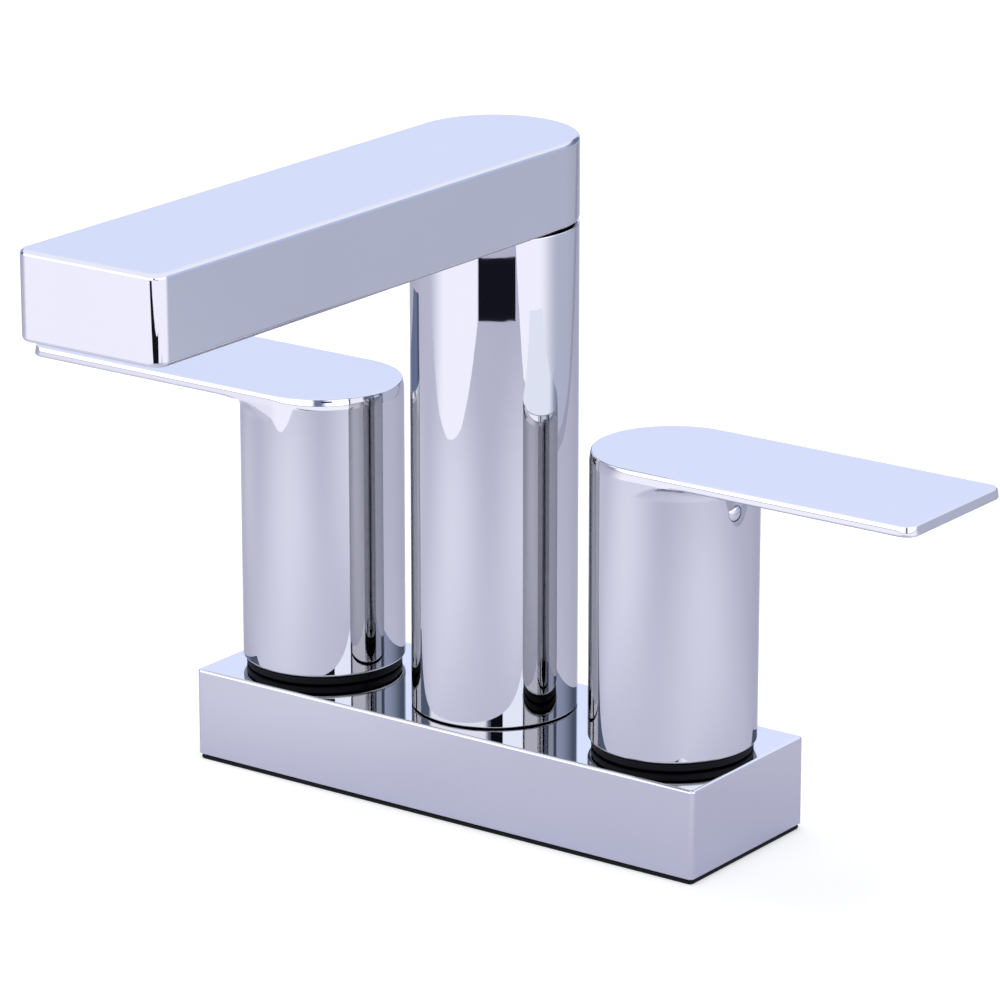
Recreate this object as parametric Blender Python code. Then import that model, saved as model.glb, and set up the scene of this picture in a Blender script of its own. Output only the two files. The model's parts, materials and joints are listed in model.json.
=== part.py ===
"""Centerset bathroom faucet: a long base over two quarter-turn valves, two lever handles and a swivel spout.

Everything is in metres, +Z up. The origin is at the middle of the base, on the face that lies on the deck.
+X runs to the cold handle and -Y to the user, so the spout points along -Y.
"""

import math

import bmesh
import bpy
from mathutils import Matrix, Vector

for old in list(bpy.data.objects):
    bpy.data.objects.remove(old, do_unlink=True)

# Gaps between pieces
SEAT_GAP = 0.0003            # between a piece and what it rests on
RUN_GAP = 0.0003             # round a piece in its hole
O_RING_GAP = 0.0002          # round an O-ring in its groove
STOP_GAP = math.radians(2.0)  # left at each end of a stop

# Travel
HANDLE_TRAVEL = math.radians(90.0)
SPOUT_SWING = math.radians(60.0)   # to each side

# Base
HANDLE_PITCH = 0.1016        # between the handle axes, the 4 inch centres of the deck holes
BASE_END_MARGIN = 0.0212     # from a handle axis to the end of the base
BASE_SIDE_MARGIN = 0.0034    # from the round posts to the long sides
BASE_HEIGHT = 0.0215
BASE_WALL = 0.0025
BASE_CORNER_ROUND = 0.0012
BASE_EDGE_ROUND = 0.0006
COVER_HOLE_GAP = 0.0005
GASKET_THICKNESS = 0.001
GASKET_INSET = 0.0003
GASKET_WINDOW_GAP = 0.0015

# Valve, from the discs outwards
DISC_RADIUS = 0.0074
CARTRIDGE_WALL = 0.0012
SPIGOT_WALL = 0.0023
SHOULDER_WIDTH = 0.0015
RELIEF_DEPTH = 0.001
NUT_WALL = 0.0039            # at the corners
NUT_CLEARANCE = 0.0019
HANDLE_WALL = 0.002

# Valve, heights
INLET_RECESS = 0.0003
SOCKET_RADIUS = 0.008
INLET_RADIUS = 0.0045
SEAT_WEB = 0.002
BAR_CLEARANCE = 0.0016
BAR_WALL = 0.0018
BAR_DEPTH = 0.014
CHANNEL_RADIUS = 0.0032
CHANNEL_STEP = 0.0005
SEAL_THICKNESS = 0.0016
SEAL_WIDTH = 0.0024
FIXED_DISC_THICKNESS = 0.0025
TURNING_DISC_THICKNESS = 0.003
PORT_INNER_RADIUS = 0.0022
PORT_EDGE = 0.0016
PORT_HALF_ANGLE = math.radians(35.0)
NOTCH_HALF_ANGLE = math.radians(38.0)
DRIVE_SLOT_DEPTH = 0.0012
DRIVE_TONGUE_WIDTH = 0.0028
STEM_FLANGE_HEIGHT = 0.0037
STEM_RADIUS = 0.0045
STEM_GROOVE_DEPTH = 0.0013
STEM_O_RING_SECTION = 0.0011
STEM_O_RING_RISE = 0.011     # above the stem's flange
STOP_HEIGHT = 0.0025
STOP_DEPTH = 0.0021
STOP_WIDTH = math.radians(40.0)
SPIGOT_RISE = 0.0192         # above the base
CARTRIDGE_FLANGE_HEIGHT = 0.003
NECK_WALL = 0.0017
NECK_RISE = 0.0019           # above the bonnet nut
DECK_NUT_HEIGHT = 0.005
BONNET_SKIRT = 0.008
BONNET_CAP = 0.0025
CLIP_THICKNESS = 0.0008
CLIP_GROOVE_DEPTH = 0.0011
CLIP_PLAY = 0.0002
CLIP_MOUTH = 0.0045
COLLAR_HEIGHT = 0.0006
SPLINE_TEETH = 8
SPLINE_TOOTH = 0.0006
STEM_SPLINE_RADIUS = 0.004
STEM_SPLINE_HEIGHT = 0.007
ADAPTER_SLEEVE_HEIGHT = 0.0102
ADAPTER_WALL = 0.0028
ADAPTER_SHANK_RADIUS = 0.0056
ADAPTER_HEAD_ROOM = 0.002

# Handle
HANDLE_RIM_LIFT = 0.0023     # rim above the base
HANDLE_HEIGHT = 0.0689
HANDLE_TOP_WALL = 0.004
RIM_ROUND = 0.0007
LEVER_REACH = 0.075          # from the handle's axis to the tip
LEVER_THICKNESS = 0.0026
LEVER_TIP_ROUND = 0.0035
LEVER_EDGE_ROUND = 0.0004
LEVER_TOP_ROUND = 0.0006
FILLET_OUT = 0.003
FILLET_DOWN = 0.0041
HUB_WALL = 0.0027
SCREW_DROP = 0.0106          # set screw below the handle's top
SCREW_TURN = math.radians(12.0)  # set screw from the lever's line, towards the user
SET_SCREW_RADIUS = 0.0019
SET_SCREW_LENGTH = 0.008
SCREW_BOSS_WALL = 0.002
HEX_SOCKET_RADIUS = 0.0012
HEX_SOCKET_DEPTH = 0.0025
PLUG_LENGTH = 0.0035
PLUG_DOME = 0.0002
GLIDE_INSET = 0.0008
GLIDE_RING_HEIGHT = 0.0017

# Column
COLUMN_HEIGHT = 0.117
COLUMN_WALL = 0.003
COLUMN_TOP_ROUND = 0.0005
COLUMN_FOOT_ROUND = 0.0003
FOOT_GROOVE_LIP = 0.0008
FOOT_O_RING_SECTION = 0.001
LEDGE_THICKNESS = 0.0032
LEDGE_DROP = 0.0059          # ledge below the column's top
LEDGE_HOLE_GAP = 0.004
RISER_RADIUS = 0.0085
RISER_BORE_RADIUS = 0.006
RISER_ENGAGEMENT = 0.0097
RISER_O_RING_RISE = 0.0032
RISER_O_RING_SECTION = 0.0013
RISER_FLANGE_THICKNESS = 0.0027
BOSS_RISE = 0.0112           # centre boss above the base
BOSS_WALL = 0.0037
BOSS_FOOT = 0.0005

# Spout
SWIVEL_GAP = 0.0004
ARM_HEIGHT = 0.0201
ARM_REACH = 0.1443           # from the column's axis to the end face
ARM_WALL = 0.0026
ARM_CORNER_ROUND = 0.002
ARM_TOP_ROUND = 0.0008
ARM_BOTTOM_ROUND = 0.0012
CAVITY_CORNER_ROUND = 0.001
PIVOT_RADIUS = 0.011
PIVOT_HEIGHT = 0.013         # above the arm's underside
PIVOT_SOCKET_WALL = 0.0028
PIVOT_HEAD_ROOM = 0.0005
PIVOT_GROOVE_DEPTH = 0.0013
PIVOT_O_RING_SECTION = 0.0011
PIVOT_O_RING_DROP = 0.0023   # foot of the upper groove, below the pivot's top
PIVOT_O_RING_PITCH = 0.0028  # from the lower groove to the upper one
LOCK_SCREW_RISE = 0.0045     # above the arm's underside
LOCK_SCREW_RADIUS = 0.0017
LOCK_SCREW_SINK = 0.0006
LOCK_TIP_RADIUS = 0.0011
LOCK_SLOT_DEPTH = 0.0015
LOCK_PAD_WALL = 0.0025
AERATOR_SETBACK = 0.019      # from the end face to the aerator's axis
AERATOR_RADIUS = 0.0102
AERATOR_WALL = 0.0016
AERATOR_LIP = 0.0012
AERATOR_SINK = 0.0005
AERATOR_HEIGHT = 0.0072
AERATOR_SEAT_WALL = 0.002
AERATOR_LEDGE_WIDTH = 0.002
AERATOR_LEDGE_THICKNESS = 0.0015
AERATOR_WASHER_THICKNESS = 0.0016
CELL_RADIUS = 0.0016
CELL_WEB = 0.0007
INSERT_TOP_GAP = 0.0005

# Facets
SHOWN_STEPS = 40             # round a turned piece that shows
HIDDEN_STEPS = 16            # round one that doesn't
NUT_STEPS = 18               # three to each side of a hexagon
SMALL_STEPS = 12             # round a screw
RING_SIDES = 5               # round the section of an O-ring
SECTOR_PITCH = math.radians(14.0)
CORNER_STEPS = 3             # round the corners of a plate
EDGE_STEPS = 2               # over the rounded edges of the base and the arm
RIM_STEPS = 1                # over the fine edges of the handles
FILLET_STEPS = 3
HANDLE_STEPS = (16, 7, 2, 3)  # back, each side, each corner, end
ARM_STEPS = (24, 2, 3, 2)     # the same for the arm
SHARP_ANGLE = math.radians(30.0)
MERGE = 0.000001
OVERRUN = 0.001              # how far a cutter runs past the face it opens

# Radii that follow
CHAMBER_RADIUS = DISC_RADIUS + RUN_GAP
CARTRIDGE_RADIUS = CHAMBER_RADIUS + CARTRIDGE_WALL
BARREL_BORE = CARTRIDGE_RADIUS + RUN_GAP
SPIGOT_RADIUS = BARREL_BORE + SPIGOT_WALL
BARREL_RADIUS = SPIGOT_RADIUS + SHOULDER_WIDTH
NUT_BORE = SPIGOT_RADIUS + RUN_GAP
NUT_RADIUS = NUT_BORE + NUT_WALL
CUP_RADIUS = NUT_RADIUS + NUT_CLEARANCE
POST_RADIUS = CUP_RADIUS + HANDLE_WALL   # outside of the handles, the column and the arm's back
STEM_BORE = STEM_RADIUS + RUN_GAP
NECK_RADIUS = STEM_BORE + NECK_WALL
ADAPTER_SOCKET = STEM_SPLINE_RADIUS + RUN_GAP
ADAPTER_SLEEVE_RADIUS = ADAPTER_SOCKET + ADAPTER_WALL
HUB_BORE = ADAPTER_SHANK_RADIUS + RUN_GAP
HUB_RADIUS = HUB_BORE + HUB_WALL
SCREW_HOLE = SET_SCREW_RADIUS + RUN_GAP
SLEEVE_BORE = POST_RADIUS - COLUMN_WALL
BOSS_BORE = RISER_RADIUS + RUN_GAP
BOSS_RADIUS = BOSS_BORE + BOSS_WALL
PIVOT_SOCKET_BORE = PIVOT_RADIUS + RUN_GAP
PIVOT_SOCKET_RADIUS = PIVOT_SOCKET_BORE + PIVOT_SOCKET_WALL
AERATOR_BORE = AERATOR_RADIUS + RUN_GAP
AERATOR_SEAT_RADIUS = AERATOR_BORE + AERATOR_SEAT_WALL

# Base lengths that follow
BASE_LENGTH = HANDLE_PITCH + 2.0 * BASE_END_MARGIN
BASE_DEPTH = 2.0 * (POST_RADIUS + BASE_SIDE_MARGIN)

# Heights that follow
COVER_FOOT = GASKET_THICKNESS + SEAT_GAP
COVER_TOP = COVER_FOOT + BASE_HEIGHT
COVER_CEILING = COVER_TOP - BASE_WALL
SHOULDER_Z = COVER_CEILING - SEAT_GAP
BAR_TOP = COVER_CEILING - BAR_CLEARANCE
CHANNEL_Z = BAR_TOP - BAR_WALL - CHANNEL_RADIUS
BAR_FOOT = CHANNEL_Z - CHANNEL_RADIUS - BAR_WALL
SEAT_Z = CHANNEL_Z - CHANNEL_RADIUS - CHANNEL_STEP
INLET_Z = COVER_FOOT + INLET_RECESS
SOCKET_TOP = SEAT_Z - SEAT_WEB
CARTRIDGE_FOOT = SEAT_Z + SEAT_GAP
SEAL_TOP = CARTRIDGE_FOOT + SEAL_THICKNESS
FIXED_DISC_FOOT = SEAL_TOP + SEAT_GAP
FIXED_DISC_TOP = FIXED_DISC_FOOT + FIXED_DISC_THICKNESS
TURNING_DISC_FOOT = FIXED_DISC_TOP + SEAT_GAP
TURNING_DISC_TOP = TURNING_DISC_FOOT + TURNING_DISC_THICKNESS
STEM_FOOT = TURNING_DISC_TOP + SEAT_GAP
STEM_FLANGE_TOP = STEM_FOOT + STEM_FLANGE_HEIGHT
CHAMBER_TOP = STEM_FLANGE_TOP + SEAT_GAP
RELIEF_TOP = TURNING_DISC_TOP + CHANNEL_STEP
SPIGOT_TOP = COVER_TOP + SPIGOT_RISE
FLANGE_FOOT = SPIGOT_TOP + SEAT_GAP
FLANGE_TOP = FLANGE_FOOT + CARTRIDGE_FLANGE_HEIGHT
BONNET_TOP = FLANGE_TOP + SEAT_GAP + BONNET_CAP
NECK_TOP = BONNET_TOP + NECK_RISE
CLIP_FOOT = NECK_TOP + SEAT_GAP
CLIP_TOP = CLIP_FOOT + CLIP_THICKNESS
COLLAR_TOP = CLIP_TOP + CLIP_PLAY + COLLAR_HEIGHT
STEM_TOP = COLLAR_TOP + STEM_SPLINE_HEIGHT
ADAPTER_FOOT = COLLAR_TOP + SEAT_GAP
ADAPTER_SHOULDER = ADAPTER_FOOT + ADAPTER_SLEEVE_HEIGHT
HANDLE_FOOT = COVER_TOP + HANDLE_RIM_LIFT
HANDLE_TOP = HANDLE_FOOT + HANDLE_HEIGHT
CUP_CEILING = HANDLE_TOP - HANDLE_TOP_WALL
ADAPTER_TOP = CUP_CEILING - ADAPTER_HEAD_ROOM
HUB_FOOT = ADAPTER_SHOULDER + SEAT_GAP
LEVER_FOOT = HANDLE_TOP - LEVER_THICKNESS
SCREW_Z = HANDLE_TOP - SCREW_DROP
COLUMN_FOOT = COVER_TOP + SEAT_GAP
COLUMN_TOP = COLUMN_FOOT + COLUMN_HEIGHT
LEDGE_TOP = COLUMN_TOP - LEDGE_DROP
LEDGE_FOOT = LEDGE_TOP - LEDGE_THICKNESS
BOSS_TOP = COVER_TOP + BOSS_RISE
RISER_FOOT = BOSS_TOP - RISER_ENGAGEMENT
RISER_FLANGE_FOOT = LEDGE_TOP + SEAT_GAP
RISER_FLANGE_TOP = RISER_FLANGE_FOOT + RISER_FLANGE_THICKNESS
ARM_FOOT = COLUMN_TOP + SWIVEL_GAP
ARM_TOP = ARM_FOOT + ARM_HEIGHT
CAVITY_FOOT = ARM_FOOT + ARM_WALL
CAVITY_TOP = ARM_TOP - ARM_WALL
PIVOT_TOP = ARM_FOOT + PIVOT_HEIGHT
LOCK_SCREW_Z = ARM_FOOT + LOCK_SCREW_RISE
AERATOR_Y = -(ARM_REACH - AERATOR_SETBACK)
AERATOR_FOOT = ARM_FOOT + AERATOR_SINK
AERATOR_TOP = AERATOR_FOOT + AERATOR_HEIGHT
AERATOR_LEDGE_FOOT = AERATOR_TOP + 2.0 * SEAT_GAP + AERATOR_WASHER_THICKNESS
AERATOR_SEAT_TOP = AERATOR_LEDGE_FOOT + AERATOR_LEDGE_THICKNESS


def material(name, colour, metallic, roughness):
    """A plain Principled material."""
    made = bpy.data.materials.new(name)
    made.use_nodes = True
    shader = made.node_tree.nodes["Principled BSDF"]
    shader.inputs["Base Color"].default_value = (*colour, 1.0)
    shader.inputs["Metallic"].default_value = metallic
    shader.inputs["Roughness"].default_value = roughness
    made.diffuse_color = (*colour, 1.0)
    return made


CHROME = material("polished_chrome", (0.80, 0.81, 0.85), 1.0, 0.05)
BRASS = material("brass", (0.72, 0.55, 0.26), 1.0, 0.3)
STEEL = material("stainless_steel", (0.60, 0.60, 0.60), 1.0, 0.3)
RUBBER = material("black_rubber", (0.02, 0.02, 0.02), 0.0, 0.7)
BLACK_PLASTIC = material("black_plastic", (0.02, 0.02, 0.025), 0.0, 0.45)
WHITE_PLASTIC = material("white_plastic", (0.85, 0.85, 0.82), 0.0, 0.4)
CERAMIC = material("valve_ceramic", (0.90, 0.88, 0.84), 0.0, 0.15)


def finish(name, shape, finish_material, home):
    """Turn a bmesh into a smooth-shaded object under its home empty."""
    bmesh.ops.remove_doubles(shape, verts=shape.verts, dist=MERGE)
    bmesh.ops.recalc_face_normals(shape, faces=shape.faces)
    mesh = bpy.data.meshes.new(name)
    shape.to_mesh(mesh)
    shape.free()
    mesh.shade_smooth()
    mesh.set_sharp_from_angle(angle=SHARP_ANGLE)
    mesh.materials.append(finish_material)
    made = bpy.data.objects.new(name, mesh)
    made.parent = home
    bpy.context.scene.collection.objects.link(made)
    return made


def home_at(name, x):
    """An empty on a vertical axis, which carries the pieces that stand or turn there."""
    made = bpy.data.objects.new(name, None)
    made.location = (x, 0.0, 0.0)
    made.empty_display_size = POST_RADIUS
    bpy.context.scene.collection.objects.link(made)
    return made


def combine(target, tools, operation):
    """Join hidden tool solids to the target in one step, or cut them out of it."""
    group = bpy.data.collections.new(f"{target.name}_{operation.lower()}")
    for tool in tools:
        tool.hide_render = True
        tool.display_type = "WIRE"
        group.objects.link(tool)
    step = target.modifiers.new(group.name, "BOOLEAN")
    step.operation = operation
    step.solver = "EXACT"
    step.operand_type = "COLLECTION"
    step.collection = group


def turned(name, profile, steps, finish_material, home, closed=True, centre=(0.0, 0.0), along=None):
    """Spin a profile of (radius, height) points about an upright axis, or about the direction along.

    A closed profile makes a ring. An open one starts and ends on the axis.
    """
    shape = bmesh.new()
    points = [shape.verts.new((radius, 0.0, height)) for radius, height in profile]
    for first, second in zip(points, points[1:]):
        shape.edges.new((first, second))
    if closed:
        shape.edges.new((points[-1], points[0]))
    bmesh.ops.spin(shape, geom=shape.verts[:] + shape.edges[:], cent=(0.0, 0.0, 0.0), axis=(0.0, 0.0, 1.0),
                   angle=2.0 * math.pi, steps=steps, use_merge=True)
    if along is not None:
        turn = Vector((0.0, 0.0, 1.0)).rotation_difference(along[1]).to_matrix().to_4x4()
        bmesh.ops.transform(shape, matrix=Matrix.Translation(along[0]) @ turn, verts=shape.verts)
    bmesh.ops.translate(shape, vec=(*centre, 0.0), verts=shape.verts)
    return finish(name, shape, finish_material, home)


def rod_profile(radius, low, high):
    """The open profile of a plain cylinder."""
    return [(0.0, low), (radius, low), (radius, high), (0.0, high)]


def tube_profile(inner, outer, low, high):
    """The closed profile of a plain ring."""
    return [(outer, low), (outer, high), (inner, high), (inner, low)]


def o_ring(name, inner, section, low, steps, finish_material, home):
    """A round-sectioned ring that stands on the height low."""
    half = section / 2.0
    profile = []
    for side in range(RING_SIDES):
        angle = 2.0 * math.pi * side / RING_SIDES
        profile.append((inner + half + half * math.cos(angle), low + half + half * math.sin(angle)))
    return turned(name, profile, steps, finish_material, home)


def skin(name, rings, finish_material, home, joined=False):
    """Faces between rings of equally many points, with caps, or joined end to start."""
    shape = bmesh.new()
    loops = [[shape.verts.new(point) for point in ring] for ring in rings]
    pairs = list(zip(loops, loops[1:]))
    if joined:
        pairs.append((loops[-1], loops[0]))
    else:
        shape.faces.new(list(reversed(loops[0])))
        shape.faces.new(loops[-1])
    count = len(loops[0])
    for lower, upper in pairs:
        for index in range(count):
            after = (index + 1) % count
            shape.faces.new((lower[index], lower[after], upper[after], upper[index]))
    return finish(name, shape, finish_material, home)


def lift(outline, height):
    """Place a flat outline at a height."""
    return [(x, y, height) for x, y in outline]


def arc(centre, radius, start, end, steps):
    """Points along an arc, both ends included."""
    points = []
    for step in range(steps + 1):
        angle = start + (end - start) * step / steps
        points.append((centre[0] + radius * math.cos(angle), centre[1] + radius * math.sin(angle)))
    return points


def prism(name, outline, low, high, finish_material, home):
    """An outline extruded upwards."""
    shape = bmesh.new()
    face = shape.faces.new([shape.verts.new((x, y, low)) for x, y in outline])
    grown = bmesh.ops.extrude_face_region(shape, geom=[face])
    moved = [item for item in grown["geom"] if isinstance(item, bmesh.types.BMVert)]
    bmesh.ops.translate(shape, vec=(0.0, 0.0, high - low), verts=moved)
    return finish(name, shape, finish_material, home)


def quarter(radius, steps):
    """Points over a rounded edge, as pairs: how far in from the side, and how far up from where it starts."""
    pairs = []
    for step in range(steps + 1):
        angle = math.pi / 2.0 * step / steps
        pairs.append((radius * (1.0 - math.cos(angle)), radius * math.sin(angle)))
    return pairs


def rounded_rectangle(length, depth, corner, steps):
    """A rectangle about the origin with rounded corners."""
    points = []
    for quarter, (x_sign, y_sign) in enumerate(((1, 1), (-1, 1), (-1, -1), (1, -1))):
        centre = (x_sign * (length / 2.0 - corner), y_sign * (depth / 2.0 - corner))
        start = quarter * math.pi / 2.0
        points += arc(centre, corner, start, start + math.pi / 2.0, steps)
    return points


def sector(inner, outer, middle, half_angle):
    """A piece of a ring, seen from above."""
    steps = math.ceil(2.0 * half_angle / SECTOR_PITCH)
    outside = arc((0.0, 0.0), outer, middle - half_angle, middle + half_angle, steps)
    inside = arc((0.0, 0.0), inner, middle + half_angle, middle - half_angle, steps)
    return outside + inside


def stadium(radius, reach, corner, inset, steps):
    """Half round about the origin, straight sides along +X and a flat end with rounded corners.

    The inset moves every point square to the outline, so insets of one outline match point for point.
    The side points lie at even angles about the origin, which keeps a round post below them round.
    """
    back_steps, side_steps, corner_steps, end_steps = steps
    edge = radius - inset
    corner_centre = (reach - corner, radius - corner)
    last = math.atan2(radius, corner_centre[0])
    first = math.pi / 2.0
    side = []
    for step in range(1, side_steps):
        angle = first + (last - first) * step / side_steps
        side.append((radius / math.tan(angle), edge))
    upper_corner = arc(corner_centre, corner - inset, math.pi / 2.0, 0.0, corner_steps)
    half_end = corner_centre[1]
    end = []
    for step in range(1, end_steps):
        end.append((reach - inset, half_end - 2.0 * half_end * step / end_steps))
    lower_corner = [(x, -y) for x, y in reversed(upper_corner)]
    lower_side = [(x, -y) for x, y in reversed(side)]
    back = arc((0.0, 0.0), edge, -math.pi / 2.0, -3.0 * math.pi / 2.0, back_steps)
    return side + upper_corner + end + lower_corner + lower_side + back


def splined(root, tip, teeth):
    """The outline of a splined shaft: straight-sided teeth round a circle."""
    points = []
    pitch = 2.0 * math.pi / teeth
    for tooth in range(teeth):
        for share, radius in ((0.0, root), (0.35, root), (0.5, tip), (0.85, tip)):
            angle = (tooth + share) * pitch
            points.append((radius * math.cos(angle), radius * math.sin(angle)))
    return points


def hexagon_ring(corner_radius, steps):
    """Points of a hexagon at even angles, so that it can be skinned to a round hole."""
    points = []
    flat = corner_radius * math.cos(math.pi / 6.0)
    for step in range(steps):
        angle = 2.0 * math.pi * step / steps
        from_flat = (angle % (math.pi / 3.0)) - math.pi / 6.0
        radius = flat / math.cos(from_flat)
        points.append((radius * math.cos(angle), radius * math.sin(angle)))
    return points


def circle(radius, steps):
    """Points of a circle at even angles."""
    return arc((0.0, 0.0), radius, 0.0, 2.0 * math.pi, steps)[:-1]


def base_cover():
    """The hollow deck cover, open below, with a hole for each barrel and for the centre boss."""
    def outer(inset):
        return rounded_rectangle(BASE_LENGTH - 2.0 * inset, BASE_DEPTH - 2.0 * inset,
                                 BASE_CORNER_ROUND - inset, CORNER_STEPS)

    inside = rounded_rectangle(BASE_LENGTH - 2.0 * BASE_WALL, BASE_DEPTH - 2.0 * BASE_WALL,
                               BASE_CORNER_ROUND, CORNER_STEPS)
    rings = [lift(inside, COVER_CEILING), lift(inside, COVER_FOOT), lift(outer(0.0), COVER_FOOT)]
    for inset, rise in quarter(BASE_EDGE_ROUND, EDGE_STEPS):
        rings.append(lift(outer(inset), COVER_TOP - BASE_EDGE_ROUND + rise))
    cover = skin("base_cover", rings, CHROME, None)
    holes = ((-HANDLE_PITCH / 2.0, SPIGOT_RADIUS), (0.0, BOSS_RADIUS), (HANDLE_PITCH / 2.0, SPIGOT_RADIUS))
    tools = []
    for number, (x, radius) in enumerate(holes):
        profile = rod_profile(radius + COVER_HOLE_GAP, COVER_CEILING - OVERRUN, COVER_TOP + OVERRUN)
        tools.append(turned(f"base_cover_hole_{number}", profile, HIDDEN_STEPS, CHROME, None, False,
                            (x, 0.0)))
    combine(cover, tools, "DIFFERENCE")


def base_gasket():
    """The black gasket under the cover, with a window round each inlet."""
    outline = rounded_rectangle(BASE_LENGTH - 2.0 * GASKET_INSET, BASE_DEPTH - 2.0 * GASKET_INSET,
                                BASE_CORNER_ROUND, CORNER_STEPS)
    gasket = prism("base_gasket", outline, 0.0, GASKET_THICKNESS, RUBBER, None)
    tools = []
    for number, x in enumerate((-HANDLE_PITCH / 2.0, HANDLE_PITCH / 2.0)):
        profile = rod_profile(BARREL_RADIUS + GASKET_WINDOW_GAP, -OVERRUN, GASKET_THICKNESS + OVERRUN)
        tools.append(turned(f"base_gasket_window_{number}", profile, HIDDEN_STEPS, RUBBER, None, False,
                            (x, 0.0)))
    combine(gasket, tools, "DIFFERENCE")


def waterway_body():
    """The brass body: two valve barrels, the cross channel between them and the centre boss."""
    half = HANDLE_PITCH / 2.0
    bar = rounded_rectangle(HANDLE_PITCH, BAR_DEPTH, BASE_CORNER_ROUND, CORNER_STEPS)
    body = prism("waterway_body", bar, BAR_FOOT, BAR_TOP, BRASS, None)
    boss = turned("waterway_body_boss", rod_profile(BOSS_RADIUS, BAR_FOOT - BOSS_FOOT, BOSS_TOP),
                  HIDDEN_STEPS, BRASS, None, False)
    barrel = [(0.0, INLET_Z), (BARREL_RADIUS, INLET_Z), (BARREL_RADIUS, SHOULDER_Z),
              (SPIGOT_RADIUS, SHOULDER_Z), (SPIGOT_RADIUS, SPIGOT_TOP), (0.0, SPIGOT_TOP)]
    relief = BARREL_BORE + RELIEF_DEPTH
    bore = [(0.0, INLET_Z - OVERRUN), (SOCKET_RADIUS, INLET_Z - OVERRUN), (SOCKET_RADIUS, SOCKET_TOP),
            (INLET_RADIUS, SOCKET_TOP), (INLET_RADIUS, SEAT_Z), (BARREL_BORE, SEAT_Z),
            (BARREL_BORE, SEAT_Z + CHANNEL_STEP), (relief, SEAT_Z + CHANNEL_STEP), (relief, RELIEF_TOP),
            (BARREL_BORE, RELIEF_TOP), (BARREL_BORE, SPIGOT_TOP + OVERRUN), (0.0, SPIGOT_TOP + OVERRUN)]
    shells = [boss]
    bores = []
    for side, x in (("hot", -half), ("cold", half)):
        shells.append(turned(f"waterway_body_{side}_barrel", barrel, HIDDEN_STEPS, BRASS, None, False,
                             (x, 0.0)))
        bores.append(turned(f"waterway_body_{side}_bore", bore, HIDDEN_STEPS, BRASS, None, False, (x, 0.0)))
    middle = [(0.0, SEAT_Z), (RISER_BORE_RADIUS, SEAT_Z), (RISER_BORE_RADIUS, RISER_FOOT - SEAT_GAP),
              (BOSS_BORE, RISER_FOOT - SEAT_GAP), (BOSS_BORE, BOSS_TOP + OVERRUN), (0.0, BOSS_TOP + OVERRUN)]
    bores.append(turned("waterway_body_centre_bore", middle, HIDDEN_STEPS, BRASS, None, False))
    reach = half - BARREL_BORE
    along = (Vector((-reach, 0.0, CHANNEL_Z)), Vector((1.0, 0.0, 0.0)))
    bores.append(turned("waterway_body_channel", rod_profile(CHANNEL_RADIUS, 0.0, 2.0 * reach), SMALL_STEPS,
                        BRASS, None, False, along=along))
    combine(body, shells, "UNION")
    combine(body, bores, "DIFFERENCE")


def valve(side, home):
    """The pieces of one valve that stay still."""
    ring_foot = COVER_TOP + SEAT_GAP
    nut_top = ring_foot + DECK_NUT_HEIGHT
    hexagon = hexagon_ring(NUT_RADIUS, NUT_STEPS)
    bore = circle(NUT_BORE, NUT_STEPS)
    rings = [lift(hexagon, ring_foot), lift(hexagon, nut_top), lift(bore, nut_top), lift(bore, ring_foot)]
    skin(f"{side}_deck_nut", rings, BRASS, home, joined=True)
    glide = tube_profile(NUT_RADIUS + RUN_GAP, POST_RADIUS - GLIDE_INSET, ring_foot,
                         ring_foot + GLIDE_RING_HEIGHT)
    turned(f"{side}_glide_ring", glide, SHOWN_STEPS, BLACK_PLASTIC, home)
    seal = tube_profile(DISC_RADIUS - SEAL_WIDTH, DISC_RADIUS, CARTRIDGE_FOOT, SEAL_TOP)
    turned(f"{side}_seat_seal", seal, HIDDEN_STEPS, RUBBER, home)
    fixed_disc(side, home)
    cartridge_body(side, home)
    bonnet_nut(side, home)


def fixed_disc(side, home):
    """The lower ceramic disc, with two ports in line with the lever at rest."""
    disc = turned(f"{side}_fixed_disc", rod_profile(DISC_RADIUS, FIXED_DISC_FOOT, FIXED_DISC_TOP),
                  HIDDEN_STEPS, CERAMIC, home, False)
    tools = []
    for number, middle in enumerate((0.0, math.pi)):
        port = sector(PORT_INNER_RADIUS, DISC_RADIUS - PORT_EDGE, middle, PORT_HALF_ANGLE)
        tools.append(prism(f"{side}_fixed_disc_port_{number}", port, FIXED_DISC_FOOT - OVERRUN,
                           FIXED_DISC_TOP + OVERRUN, CERAMIC, home))
    combine(disc, tools, "DIFFERENCE")


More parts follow.
